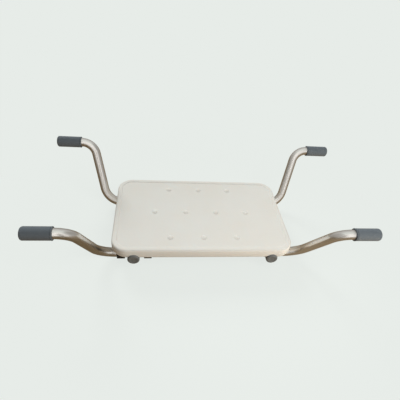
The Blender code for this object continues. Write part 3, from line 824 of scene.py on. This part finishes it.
# %% [markdown]
# ## Soft grips and caps
# A grip is a moulded vinyl sleeve: a rolled bead at its mouth, a plain barrel, and a round end
# with a shallow ring and a dimple where the mould was fed. All of it is turned, so it is one
# profile. The caps on the cross tubes are turned the same way, with a dished face. The shape of
# each closed end is a row of radii, each with its depth below the end.

# %% Profiles of the grips and the caps
END_WALL = 0.0035
MOUTH_LIP = 0.0004
MOUTH_EDGE = 0.0006
BEAD_WIDTH = 0.0030
BEAD_RUN_OUT = 0.0012
GRIP_END_RADIUS = 0.005
GRIP_END_SHAPE = ((0.0, 0.0008), (0.0010, 0.0008), (0.0026, 0.0), (0.0054, 0.0), (0.0062, 0.00045),
                  (0.0070, 0.0))
CAP_END_RADIUS = 0.0035
CAP_END_SHAPE = ((0.0, 0.0004), (0.0022, 0.0007), (0.0070, 0.0007), (0.0088, 0.0))
EASE_STEPS = 5
bore = tube_radius + TOUCH_GAP


def eased(start, end):
    """Points between two corners of a profile that leave and arrive level."""
    points = []
    for index in range(1, EASE_STEPS + 1):
        share = index / EASE_STEPS
        points.append((start[0] + (end[0] - start[0]) * share,
                       start[1] + (end[1] - start[1]) * smooth_share(share)))
    return points


def sleeve(length, radius, end_radius, end_shape, mouth):
    """A blind sleeve about Z, closed on top: its end, its outer side, its mouth and its bore."""
    corners = [(reach, length - depth) for reach, depth in end_shape]
    profile = corners[:1]
    for start, end in zip(corners, corners[1:]):
        profile += [end] if start[1] == end[1] else eased(start, end)
    profile += arc((radius - end_radius, length - end_radius), end_radius, 90.0, 0.0, 12)
    return turned(profile + mouth + [(bore, length - END_WALL), (0.0, length - END_WALL)])


def bead(radius, height):
    """Points of a grip's mouth: a round bead that stands out of the barrel, and a soft lip."""
    half = BEAD_WIDTH / 2
    points = [(radius, BEAD_WIDTH + BEAD_RUN_OUT), (radius + height * 0.25, BEAD_WIDTH + MOUTH_LIP)]
    points += arc((radius - half + height, half), half, 75.0, -75.0, 10)
    return points + [(radius - MOUTH_EDGE, 0.0), (bore + MOUTH_LIP, 0.0), (bore, MOUTH_LIP)]


print("Profiles ready")

# %% Show the grips and the caps
GRIP_WALL = 0.00245
grip_length = extent("grip_rear_right").x
grip_radius = bore + GRIP_WALL
grip_mouth = bead(grip_radius, extent("grip_rear_right").z / 2 - grip_radius)
cap_mouth = [(cap_radius, 0.0010), (cap_radius - 0.0003, 0.0002), (cap_radius - MOUTH_EDGE, 0.0),
             (bore, 0.0)]


def mouth_place(node, axis, sense):
    """The place of a sleeve whose mouth is at one end of a node's box, and faces the other."""
    spot = middle(node)
    spot[axis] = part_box(node)[0 if sense > 0 else 1][axis]
    direction = Vector()
    direction[axis] = sense
    return Matrix.Translation(spot) @ facing(direction)


for end, toward in ENDS:
    for side, outward in SIDES:
        node = "grip_%s_%s" % (end, side)
        body = "left_%s_arm" % end if side == "left" else "root"
        mesh = sleeve(grip_length, grip_radius, GRIP_END_RADIUS, GRIP_END_SHAPE, grip_mouth)
        place = mouth_place(node, 0, outward)
        show("soft_grip_%s_%s" % (end, side), mesh, grip_vinyl, body, [node], place)
        node = "cross_tube_cap_%s_%s" % (end, side)
        mesh = sleeve(cap_length, cap_radius, CAP_END_RADIUS, CAP_END_SHAPE, cap_mouth)
        place = mouth_place(node, 1, toward)
        show("bar_cap_%s_%s" % (end, side), mesh, cap_vinyl, "root", [node], place)
print("Grip %.1f mm long, cap %.1f mm long" % (grip_length * 1000, cap_length * 1000))

# %% [markdown]
# ## Guide saddles
# Each saddle is a nylon strap under the seat that the sliding arm runs through. Drawn across the
# arm it is one outline, so it is a filled curve with a small bevel. The inner saddles also have
# a round boss for the thumb screw, with a pocket that traps the screw's nut.

# %% Shape and show the saddles
FLANGE_THICKNESS = 0.004
FLANGE_DRAFT = 0.0002
SADDLE_FILLET = 0.001
SADDLE_EDGE = 0.0003
BOSS_RADIUS = 0.008
BOSS_ROOT = 0.0012
BOSS_GAP = 0.0015
STUD_BORE_RADIUS = 0.0033
STUD_BORE_START = 0.005
SCREW_HOLE_RADIUS = 0.0022
NUT_POCKET_RADIUS = 0.0061
NUT_POCKET_END = 0.0165


def saddle_outline(half_width, radius, top):
    """Outline of a saddle across the arm: two flanges and a round belly."""
    under = top - FLANGE_THICKNESS
    left = arc((-radius - SADDLE_FILLET, under - SADDLE_FILLET), SADDLE_FILLET, 90.0, 0.0, 6)
    belly = arc((0.0, 0.0), radius, 180.0, 360.0, 40)
    right = arc((radius + SADDLE_FILLET, under - SADDLE_FILLET), SADDLE_FILLET, 180.0, 90.0, 6)
    tip = under + FLANGE_DRAFT
    corners = [(-half_width, top), (-half_width, tip)]
    return corners + left + belly + right + [(half_width, tip), (half_width, top)]


across_arm = Matrix(((0, 0, 1, 0), (1, 0, 0, 0), (0, 1, 0, 0), (0, 0, 0, 1)))
for end, toward in ENDS:
    knob_face = max(abs(corner.y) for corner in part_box("thumb_screw_knob_" + end))
    boss_end = arm_line.y - knob_face - BOSS_GAP
    for where in ("inner", "outer"):
        node = "guide_saddle_%s_%s" % (end, where)
        low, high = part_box(node)
        centre = Matrix.Translation((middle(node).x, toward * arm_line.y, arm_line.z))
        outline = saddle_outline((high.y - low.y) / 2, arm_line.z - low.z, high.z - arm_line.z)
        hole = arc((0.0, 0.0), bore, 0.0, 360.0, 48)[:-1]
        mesh = rounded_plate([outline, hole], high.x - low.x, SADDLE_EDGE)
        mesh.transform(centre @ across_arm)
        screws = nodes_like("saddle_screw_%s_%s" % (end, where))
        tools = [bars(screws, SCREW_HOLE_RADIUS, arm_line.z, high.z + CUT_OVERSHOOT)]
        boss = []
        if where == "inner":
            boss = [rod_mesh(BOSS_RADIUS, bore + BOSS_ROOT, boss_end, 48)]
            stud_bore = rod_mesh(STUD_BORE_RADIUS, STUD_BORE_START, boss_end + CUT_OVERSHOOT)
            pocket = rod_mesh(NUT_POCKET_RADIUS, STUD_BORE_START, NUT_POCKET_END, 6)
            for tool in boss + [stud_bore, pocket]:
                tool.transform(centre @ facing((0, -toward, 0)))
                tools.append(tool)
        mesh = carved(mesh, tools, joined=boss)
        show("arm_guide_%s_%s" % (end, where), mesh, saddle_plastic, "root", [node])
print("Guide saddles shown")

# %% [markdown]
# ## Fasteners
# Screws, bolts, washers, rivets, nuts and inserts repeat, so each kind is modelled once and a
# recipe sets a copy on every point where the frame has one. Heads are turned, then a recess is
# cut: a cross for the saddle screws and a hexagon for the bolts. The thread is real relief, a
# bar whose radius follows the distance along it and the angle round it.


# %% Helpers for threads and recesses
THREAD_SIDES = 24
THREAD_ROWS = 6
BLADE_TAPER = 0.7


def threaded(radius, low, high, pitch, start):
    """A bar whose thread runs from one height to its top end."""
    depth = pitch * 0.5
    heights = [low] if start > low else []
    count = int(round((high - start) / pitch * THREAD_ROWS))
    heights += [start + (high - start) * index / count for index in range(count + 1)]
    rings = []
    for height in heights:
        ring = []
        fade = min(1.0, max(0.0, (height - start) / pitch)) * min(1.0, (high - height) / pitch + 0.3)
        for step in range(THREAD_SIDES):
            angle = 2 * math.pi * step / THREAD_SIDES
            turn = ((height - start) / pitch - step / THREAD_SIDES) % 1.0
            reach = radius - depth * fade * abs(2.0 * turn - 1.0)
            ring.append((reach * math.cos(angle), reach * math.sin(angle), height))
        rings.append(ring)
    return softened(ringed(rings))


def cross_tools(width, reach, depth):
    """Two crossing blades that taper, for a cross recess that opens downwards."""
    tools = []
    for wide, thin in ((reach, width), (width, reach)):
        form = bmesh.new()
        bmesh.ops.create_cube(form, size=1.0, matrix=Matrix.Diagonal((wide, thin, 2 * depth, 1.0)))
        for corner in form.verts:
            if corner.co.z > 0:
                corner.co.x *= BLADE_TAPER
                corner.co.y *= BLADE_TAPER
        tools.append(filled(form, "blade"))
    return tools


print("Thread and recess helpers ready")


# %% Recipe for fasteners on points
def make_fastener_recipe(sample):
    recipe = Recipe("fasteners_on_points", {"Fastener": sample, "Finish": plated_steel})
    chosen = recipe.node("GeometryNodeObjectInfo", {}, {"Object": recipe["Fastener"]}, "Geometry")
    recipe.close(recipe.copies(recipe["Geometry"], chosen))
    return recipe


def head_profile(radius, thickness, crown, shank, top):
    """A pan head whose underside faces up, with its shank above it."""
    edge = thickness * 0.35
    profile = [(0.0, 0.0), (radius * 0.45, crown * 0.2), (radius * 0.75, crown * 0.7)]
    profile += [(radius - edge * 0.6, crown + edge * 0.2), (radius, crown + edge), (radius, thickness)]
    return profile + [(shank, thickness), (shank, top), (0.0, top)]


def screw(head, recess, shank):
    """A head with its recess cut, joined to its shank."""
    return carved(carved(head, recess), [shank], joined=[shank])


def set_out(name, master, nodes, finish):
    """Copies of one fastener that stand on the floors of its nodes, as one piece on the root."""
    sample = loose("master", master)
    points = bpy.data.meshes.new("points")
    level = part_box(nodes[0])[0].z
    points.from_pydata([(*middle(node).xy, level) for node in nodes], [], [])
    recipe = make_fastener_recipe(sample)
    mesh = recipe.grow(points, Finish=finish)
    bpy.data.objects.remove(sample, do_unlink=True)
    return show(name, softened(mesh), finish, "root", nodes)


print("Fastener recipe ready")

# %% Saddle screws, cross tube screws and crossing bolts
BOLT_THREAD_LENGTH = 0.014


def height_of(nodes):
    """How tall the first of some like nodes is."""
    low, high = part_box(nodes[0])
    return high.z - low.z


tall = height_of(screw_nodes)
head = turned(head_profile(radius=0.0032, thickness=0.0024, crown=0.0007, shank=0.0017, top=0.004), 32)
recess = cross_tools(width=0.0007, reach=0.0034, depth=0.0013)
shank = threaded(SADDLE_SCREW_RADIUS, low=0.0035, high=tall, pitch=0.0009, start=0.0045)
set_out("saddle_screws", screw(head, recess, shank), screw_nodes, plated_steel)

for name, kind in (("bar_screws", "cross_tube_screw"), ("crossing_bolts", "crossing_bolt")):
    nodes = nodes_like(kind)
    tall = height_of(nodes)
    head = turned(head_profile(radius=0.0055, thickness=0.0025, crown=0.0006, shank=0.0028,
                               top=0.006), 40)
    recess = [rod_mesh(radius=0.0023, low=-CUT_OVERSHOOT, high=0.0017, segments=6)]
    shank = threaded(radius=0.003, low=0.0045, high=tall, pitch=0.001,
                     start=tall - BOLT_THREAD_LENGTH)
    piece = set_out(name, screw(head, recess, shank), nodes, plated_steel)
print("Screws and bolts:", len(piece.data.polygons), "faces in the bolts")

# %% Washers, rivets and inserts
WASHER_RADIUS = 0.0070
RIVET_RADIUS = 0.0016
RIVET_HEAD = [(0.0, 0.0009), (0.0008, 0.0009), (0.0009, 0.0001), (0.0014, 0.0), (0.0024, 0.0003),
              (0.0031, 0.0010), (0.0032, 0.0013), (RIVET_RADIUS, 0.0013)]
RIVET_EDGE = 0.0003
INSERT_RADIUS = 0.0048
RIB_ROOT = 0.0045
RIBS = 5

washer_nodes = nodes_like("crossing_washer")
tall = height_of(washer_nodes)
lower_half = [(BOLT_HOLE_RADIUS, 0.0), (WASHER_RADIUS - 0.0003, 0.0), (WASHER_RADIUS, 0.0002)]
upper_half = [(reach, tall - level) for reach, level in reversed(lower_half)]
washer = turned(lower_half + upper_half + lower_half[:1], 48)
set_out("bolt_washers", washer, washer_nodes, plated_steel)

rivet_nodes = nodes_like("joining_rivet")
tall = height_of(rivet_nodes)
rivet = turned(RIVET_HEAD + [(RIVET_RADIUS, tall - RIVET_EDGE), (RIVET_RADIUS - RIVET_EDGE, tall),
                             (0.0, tall)], 32)
set_out("inner_tube_rivets", rivet, rivet_nodes, satin_aluminium)

tall = height_of(insert_nodes)
ribs = []
for index in range(RIBS):
    level = tall * (0.12 + 0.16 * index)
    ribs += [(RIB_ROOT, level), (INSERT_RADIUS, level + 0.0003),
             (INSERT_RADIUS, level + 0.0010), (RIB_ROOT, level + 0.0012)]
insert = turned([(BOLT_HOLE_RADIUS, 0.0), (INSERT_RADIUS, 0.0), (INSERT_RADIUS, 0.0008)] + ribs +
                [(RIB_ROOT, tall), (BOLT_HOLE_RADIUS, tall), (BOLT_HOLE_RADIUS, 0.0)], 40)
set_out("seat_inserts", insert, insert_nodes, brass)
print("Washers, rivets and inserts shown")

# %% [markdown]
# ## Thumb screws
# A thumb screw presses on the sliding arm from the side and turns in a nut held by the inner
# saddle. The knob and its stud turn together on their own body, so they are made about the
# screw's own axis and ride there. The knob has six soft lobes for wet fingers.

# %% Shape and show the thumb screws
KNOB_RADIUS = 0.0105
KNOB_SIDES = 96
KNOB_EDGE = 0.0012
KNOB_BOSS_EDGE = 0.0008
KNOB_FACE = [(0.0065, 0.0004), (0.0050, 0.0), (0.0022, 0.0)]
KNOB_BOSS_INSET = 0.0045
LOBE_HEIGHT = 0.0009
LOBE_FADE = 0.005
LOBES = 6
STUD_RADIUS = 0.003
STUD_PITCH = 0.001
nut_across = extent("thumb_screw_nut_front").x


def knob_mesh(thickness, stud_start):
    """A lobed knob about Z, its outer face at the origin and its boss side at its thickness."""
    levels = KNOB_FACE + arc((KNOB_EDGE, KNOB_EDGE), KNOB_EDGE, 270.0, 180.0, 6)
    levels += [(0.0, thickness - KNOB_EDGE)]
    levels += arc((KNOB_BOSS_EDGE, thickness - KNOB_BOSS_EDGE), KNOB_BOSS_EDGE, 180.0, 90.0, 4)
    levels += [(KNOB_BOSS_INSET, thickness)]
    rings = []
    for inset, height in levels:
        ring = []
        for step in range(KNOB_SIDES):
            angle = 2 * math.pi * step / KNOB_SIDES
            lobe = LOBE_HEIGHT * math.cos(LOBES * angle) * max(0.0, 1.0 - inset / LOBE_FADE)
            reach = KNOB_RADIUS + lobe - inset
            ring.append((reach * math.cos(angle), reach * math.sin(angle), height))
        rings.append(ring)
    stud_bore = rod_mesh(STUD_BORE_RADIUS, stud_start, thickness + CUT_OVERSHOOT)
    return carved(ringed(rings), [stud_bore])


def nut_mesh(across, thickness):
    """A hexagon nut about Z with chamfered corners and a round hole."""
    flat = across / 2
    hexagon = rod_mesh(flat / math.cos(math.pi / 6), 0.0, thickness, 6)
    stud_bore = rod_mesh(STUD_BORE_RADIUS, -CUT_OVERSHOOT, thickness + CUT_OVERSHOOT)
    chamfer = turned([(flat + 0.0003, -CUT_OVERSHOOT), (0.02, -CUT_OVERSHOOT), (0.02, 0.0011),
                      (flat + 0.0012, 0.0005), (flat, 0.0), (flat + 0.0003, -CUT_OVERSHOOT)])
    return carved(hexagon, [stud_bore, chamfer])


for end, toward in ENDS:
    knob, stud, nut = ("thumb_screw_%s_%s" % (part, end) for part in ("knob", "stud", "nut"))
    knob_start, stud_start, nut_start = (min(abs(corner.y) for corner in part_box(part))
                                         for part in (knob, stud, nut))
    line = Matrix.Translation((middle(knob).x, 0.0, arm_line.z)) @ facing((0, toward, 0))
    body = "thumb_screw_" + end
    mesh = knob_mesh(extent(knob).y, stud_start - knob_start - TOUCH_GAP)
    show("lobed_knob_" + end, mesh, saddle_plastic, body, [knob],
         line @ Matrix.Translation((0.0, 0.0, knob_start)))
    mesh = threaded(STUD_RADIUS, stud_start, stud_start + extent(stud).y, STUD_PITCH, stud_start)
    show("threaded_stud_" + end, mesh, plated_steel, body, [stud], line)
    mesh = nut_mesh(nut_across, extent(nut).y)
    show("saddle_nut_" + end, mesh, plated_steel, "root", [nut],
         line @ Matrix.Translation((0.0, 0.0, nut_start)))
print("Thumb screws shown")

# %% [markdown]
# ## Floor and background
# The photograph's background is one pale, slightly green grey. The floor and the world show that
# colour to the camera and in reflections and refractions. To light that bounces off it, the
# floor is a warm mid tone, which gives the undersides their brown cast. Near the bench a tenth of
# the floor is a plain matte surface, so the bench keeps a faint shadow. That share fades out
# further away, so no lamp leaves a bright patch there. Light isn't sampled from the floor's
# glow, because it isn't there to light the bench, and sampling it would only add noise.

# %% Floor and world
BACKGROUND = (0.799, 0.838, 0.807)
WARM_BOUNCE = (0.50, 0.38, 0.27)
SOFT_LIGHT = (0.115, 0.112, 0.107)
MATTE_SHARE = 0.10
MATTE_NEAR = 0.25
MATTE_FAR = 0.60
FLOOR_LEVEL = -0.0004
FLOOR_REACH = 9.0


class Backdrop(Sheet):
    """A flat four-cornered part of the stage, whose material starts without a shader."""

    def __init__(self, name):
        self.name = name
        self.material = bpy.data.materials.new(name)
        self.material.use_nodes = True
        self.material.cycles.emission_sampling = "NONE"
        super().__init__(self.material.node_tree)
        self.tree.nodes.remove(self.tree.nodes["Principled BSDF"])

    def glow(self, tone):
        """A surface that shines in one tone."""
        return self.node("ShaderNodeEmission", {}, {"Color": tone, "Strength": 1.0})

    def stand(self, corners, surface, unseen=()):
        """Put it in the scene, unseen by some kinds of rays."""
        self.feed(self.tree.nodes["Material Output"].inputs["Surface"], surface)
        mesh = bpy.data.meshes.new(self.name)
        mesh.from_pydata(corners, [], [(0, 1, 2, 3)])
        mesh.materials.append(self.material)
        made = loose(self.name, mesh)
        for rays in unseen:
            setattr(made, "visible_" + rays, False)


def level_corners(reach, level):
    """Corners of a level square about the origin."""
    return [(x * reach, y * reach, level) for x, y in ((-1, -1), (1, -1), (1, 1), (-1, 1))]


def seen_rays(sheet):
    """One for rays that show the background to the camera, directly or in gloss or glass."""
    direct, gloss, glass = (sheet.node("ShaderNodeLightPath", {}, {}, kind)
                            for kind in ("Is Camera Ray", "Is Glossy Ray", "Is Transmission Ray"))
    return sheet.capped(direct + gloss + glass)


def make_floor():
    """A wide floor that shows the background colour and keeps a faint shadow."""
    floor = Backdrop("studio_floor")
    seen = seen_rays(floor)
    tone = floor.blend(seen, WARM_BOUNCE, BACKGROUND)
    matte = floor.node("ShaderNodeBsdfDiffuse", {}, {"Color": tone})
    away = floor.length(floor.object_place())
    share = floor.span(away, MATTE_NEAR, MATTE_FAR, MATTE_SHARE, 0.0, "SMOOTHSTEP")
    surface = floor.node("ShaderNodeMixShader", {},
                         {0: seen * (1.0 - share), 1: matte, 2: floor.glow(BACKGROUND)})
    floor.stand(level_corners(FLOOR_REACH, FLOOR_LEVEL), surface)


def make_world():
    """Soft light from all round, with the background colour where it is seen."""
    world = bpy.data.worlds.new("studio")
    world.use_nodes = True
    world.node_tree.nodes.clear()
    sheet = Sheet(world.node_tree)
    soft = sheet.node("ShaderNodeBackground", {}, {"Color": SOFT_LIGHT, "Strength": 1.0})
    pale = sheet.node("ShaderNodeBackground", {}, {"Color": BACKGROUND, "Strength": 1.0})
    mixed = sheet.node("ShaderNodeMixShader", {}, {0: seen_rays(sheet), 1: soft, 2: pale})
    sheet.node("ShaderNodeOutputWorld", {}, {"Surface": mixed})
    bpy.context.scene.world = world


make_floor()
make_world()
print("Background colour:", BACKGROUND)

# %% [markdown]
# ## Camera and lamps
# The camera stands in front of the bench, a little to the left, and looks down on the seat. Its
# place is given in seat widths, because that is how it was found. The main lamp is large, low
# and far away behind the bench on the left. Its light grazes the seat, so each dome keeps a pale
# side and a soft dark side. A lamp above the front right fills the rim, and a weak warm one low
# at the front right brightens the front wall towards that end. None of them shows in gloss,
# where a lamp would burn a white spot into the metal.

# %% Camera
CAMERA_PLACE = (-0.2789, -1.4481, 1.3829)
CAMERA_PITCH = math.radians(41.17)
CAMERA_YAW = math.radians(10.36)
CAMERA_ROLL = math.radians(7.88)
CAMERA_LENS = 30.41

scene = bpy.context.scene
lens = bpy.data.cameras.new("studio_camera")
lens.lens = CAMERA_LENS
lens.sensor_width = 36.0
lens.clip_start = 0.01
camera = loose("studio_camera", lens)
spot = Vector(CAMERA_PLACE) * seat_size.x + Vector((0.0, 0.0, seat_top))
forward = Vector((math.sin(CAMERA_YAW) * math.cos(CAMERA_PITCH),
                  math.cos(CAMERA_YAW) * math.cos(CAMERA_PITCH), -math.sin(CAMERA_PITCH)))
across = Vector((math.cos(CAMERA_YAW), -math.sin(CAMERA_YAW), 0.0))
upward = across.cross(forward)
turned_across = math.cos(CAMERA_ROLL) * across + math.sin(CAMERA_ROLL) * upward
turned_upward = math.cos(CAMERA_ROLL) * upward - math.sin(CAMERA_ROLL) * across
camera.matrix_world = Matrix((
    (turned_across.x, turned_upward.x, -forward.x, spot.x),
    (turned_across.y, turned_upward.y, -forward.y, spot.y),
    (turned_across.z, turned_upward.z, -forward.z, spot.z),
    (0.0, 0.0, 0.0, 1.0)))
scene.camera = camera
print("Camera at", [round(value, 3) for value in spot])


# %% Lamps
def lamp(name, place, target, width, height, power, colour):
    """An area lamp that faces a point and shows neither to the camera nor in gloss."""
    light = bpy.data.lights.new(name, "AREA")
    light.shape = "RECTANGLE"
    light.size = width
    light.size_y = height
    light.energy = power
    light.color = colour
    made = loose(name, light)
    made.visible_camera = False
    made.visible_glossy = False
    aim = Vector(target) - Vector(place)
    made.matrix_world = Matrix.Translation(place) @ aim.to_track_quat("-Z", "Y").to_matrix().to_4x4()


seat_middle = (0.0, 0.0, seat_top)
seat_wall = (0.0, 0.0, 0.05)
lamp("rear_lamp", (-3.20, 6.40, 4.40), seat_middle, 3.2, 3.2, 685.0, (0.985, 1.0, 1.0))
lamp("over_lamp", (0.62, -0.83, 1.13), seat_middle, 1.0, 0.9, 15.6, (1.0, 0.985, 0.97))
lamp("low_lamp", (0.70, -0.58, 0.05), seat_wall, 0.5, 0.08, 3.0, (1.0, 0.93, 0.83))
print("Lamps hung")

# %% [markdown]
# ### Cards for the metal
# Metal shows only what it reflects. A photographer stands cards round a bright tube, so that it
# keeps a dark edge and a warm underside instead of fading into the pale background. Here a
# bright card at the front fades towards its sides, the back and the sides are grey, a brown one
# lies on the floor, and a dark flag stands where the photographer would. These cards show in
# gloss alone: they light nothing, shade nothing and never reach the camera.


# %% Reflection cards
def card(name, corners, tones, axis="Z", span=(0.0, 1.0)):
    """A flat card that shows only in gloss, and fades from one tone to another along an axis."""
    board = Backdrop(name)
    along = board.node("ShaderNodeSeparateXYZ", {}, {0: board.object_place()}, axis)
    tone = board.blend(board.span(along, *span), *tones)
    board.stand(corners, board.glow(tone),
                unseen=("camera", "diffuse", "transmission", "volume_scatter", "shadow"))


CARD_REACH = 1.6
CARD_HEIGHT = 3.0
CARD_FOOT = FLOOR_LEVEL / 2
LEFT_SEAM = -0.7
RIGHT_SEAM = 0.8
WOOD_DARK = (0.150, 0.108, 0.060)
WOOD_LIGHT = (0.270, 0.205, 0.130)
BRIGHT_TONE = (1.14, 1.12, 1.08)
DARK_TONE = (0.20, 0.185, 0.160)
DIM_TONE = (0.34, 0.330, 0.310)
GREY_TONE = (0.42, 0.410, 0.390)
SOFT_TONE = (0.58, 0.575, 0.56)


def upright(name, start, end, tones, axis="Z", span=(0.0, 1.0), high=CARD_HEIGHT):
    """A standing card between two places on the floor."""
    card(name, [(*start, CARD_FOOT), (*end, CARD_FOOT), (*end, high), (*start, high)], tones, axis, span)


far = CARD_REACH
card("wood_card", level_corners(far, CARD_FOOT), (WOOD_DARK, WOOD_LIGHT), "X", (-0.25, 0.25))
upright("front_left_card", (-far, -far), (LEFT_SEAM, -far), (GREY_TONE, BRIGHT_TONE), "X",
        (-1.3, LEFT_SEAM))
upright("front_card", (LEFT_SEAM, -far), (RIGHT_SEAM, -far), (BRIGHT_TONE, BRIGHT_TONE))
upright("front_right_card", (RIGHT_SEAM, -far), (far, -far), (BRIGHT_TONE, SOFT_TONE), "X",
        (RIGHT_SEAM, far))
upright("right_card", (far, -far), (far, far), (SOFT_TONE, DIM_TONE), "Y", (-1.4, -0.4))
upright("back_card", (far, far), (-far, far), (DIM_TONE, SOFT_TONE), "Z", (0.2, 1.6), high=4.0)
upright("left_card", (-far, far), (-far, -far), (DARK_TONE, GREY_TONE))
upright("flag_card", (-0.22, -0.85), (0.10, -0.85), (DARK_TONE, DARK_TONE), high=0.80)
print("Cards stand %.1f m away" % CARD_REACH)

# %% [markdown]
# ## Sizes for the record and the finish
# The scene is shown with the Standard view transform.

# %% View
scene.view_settings.view_transform = "Standard"
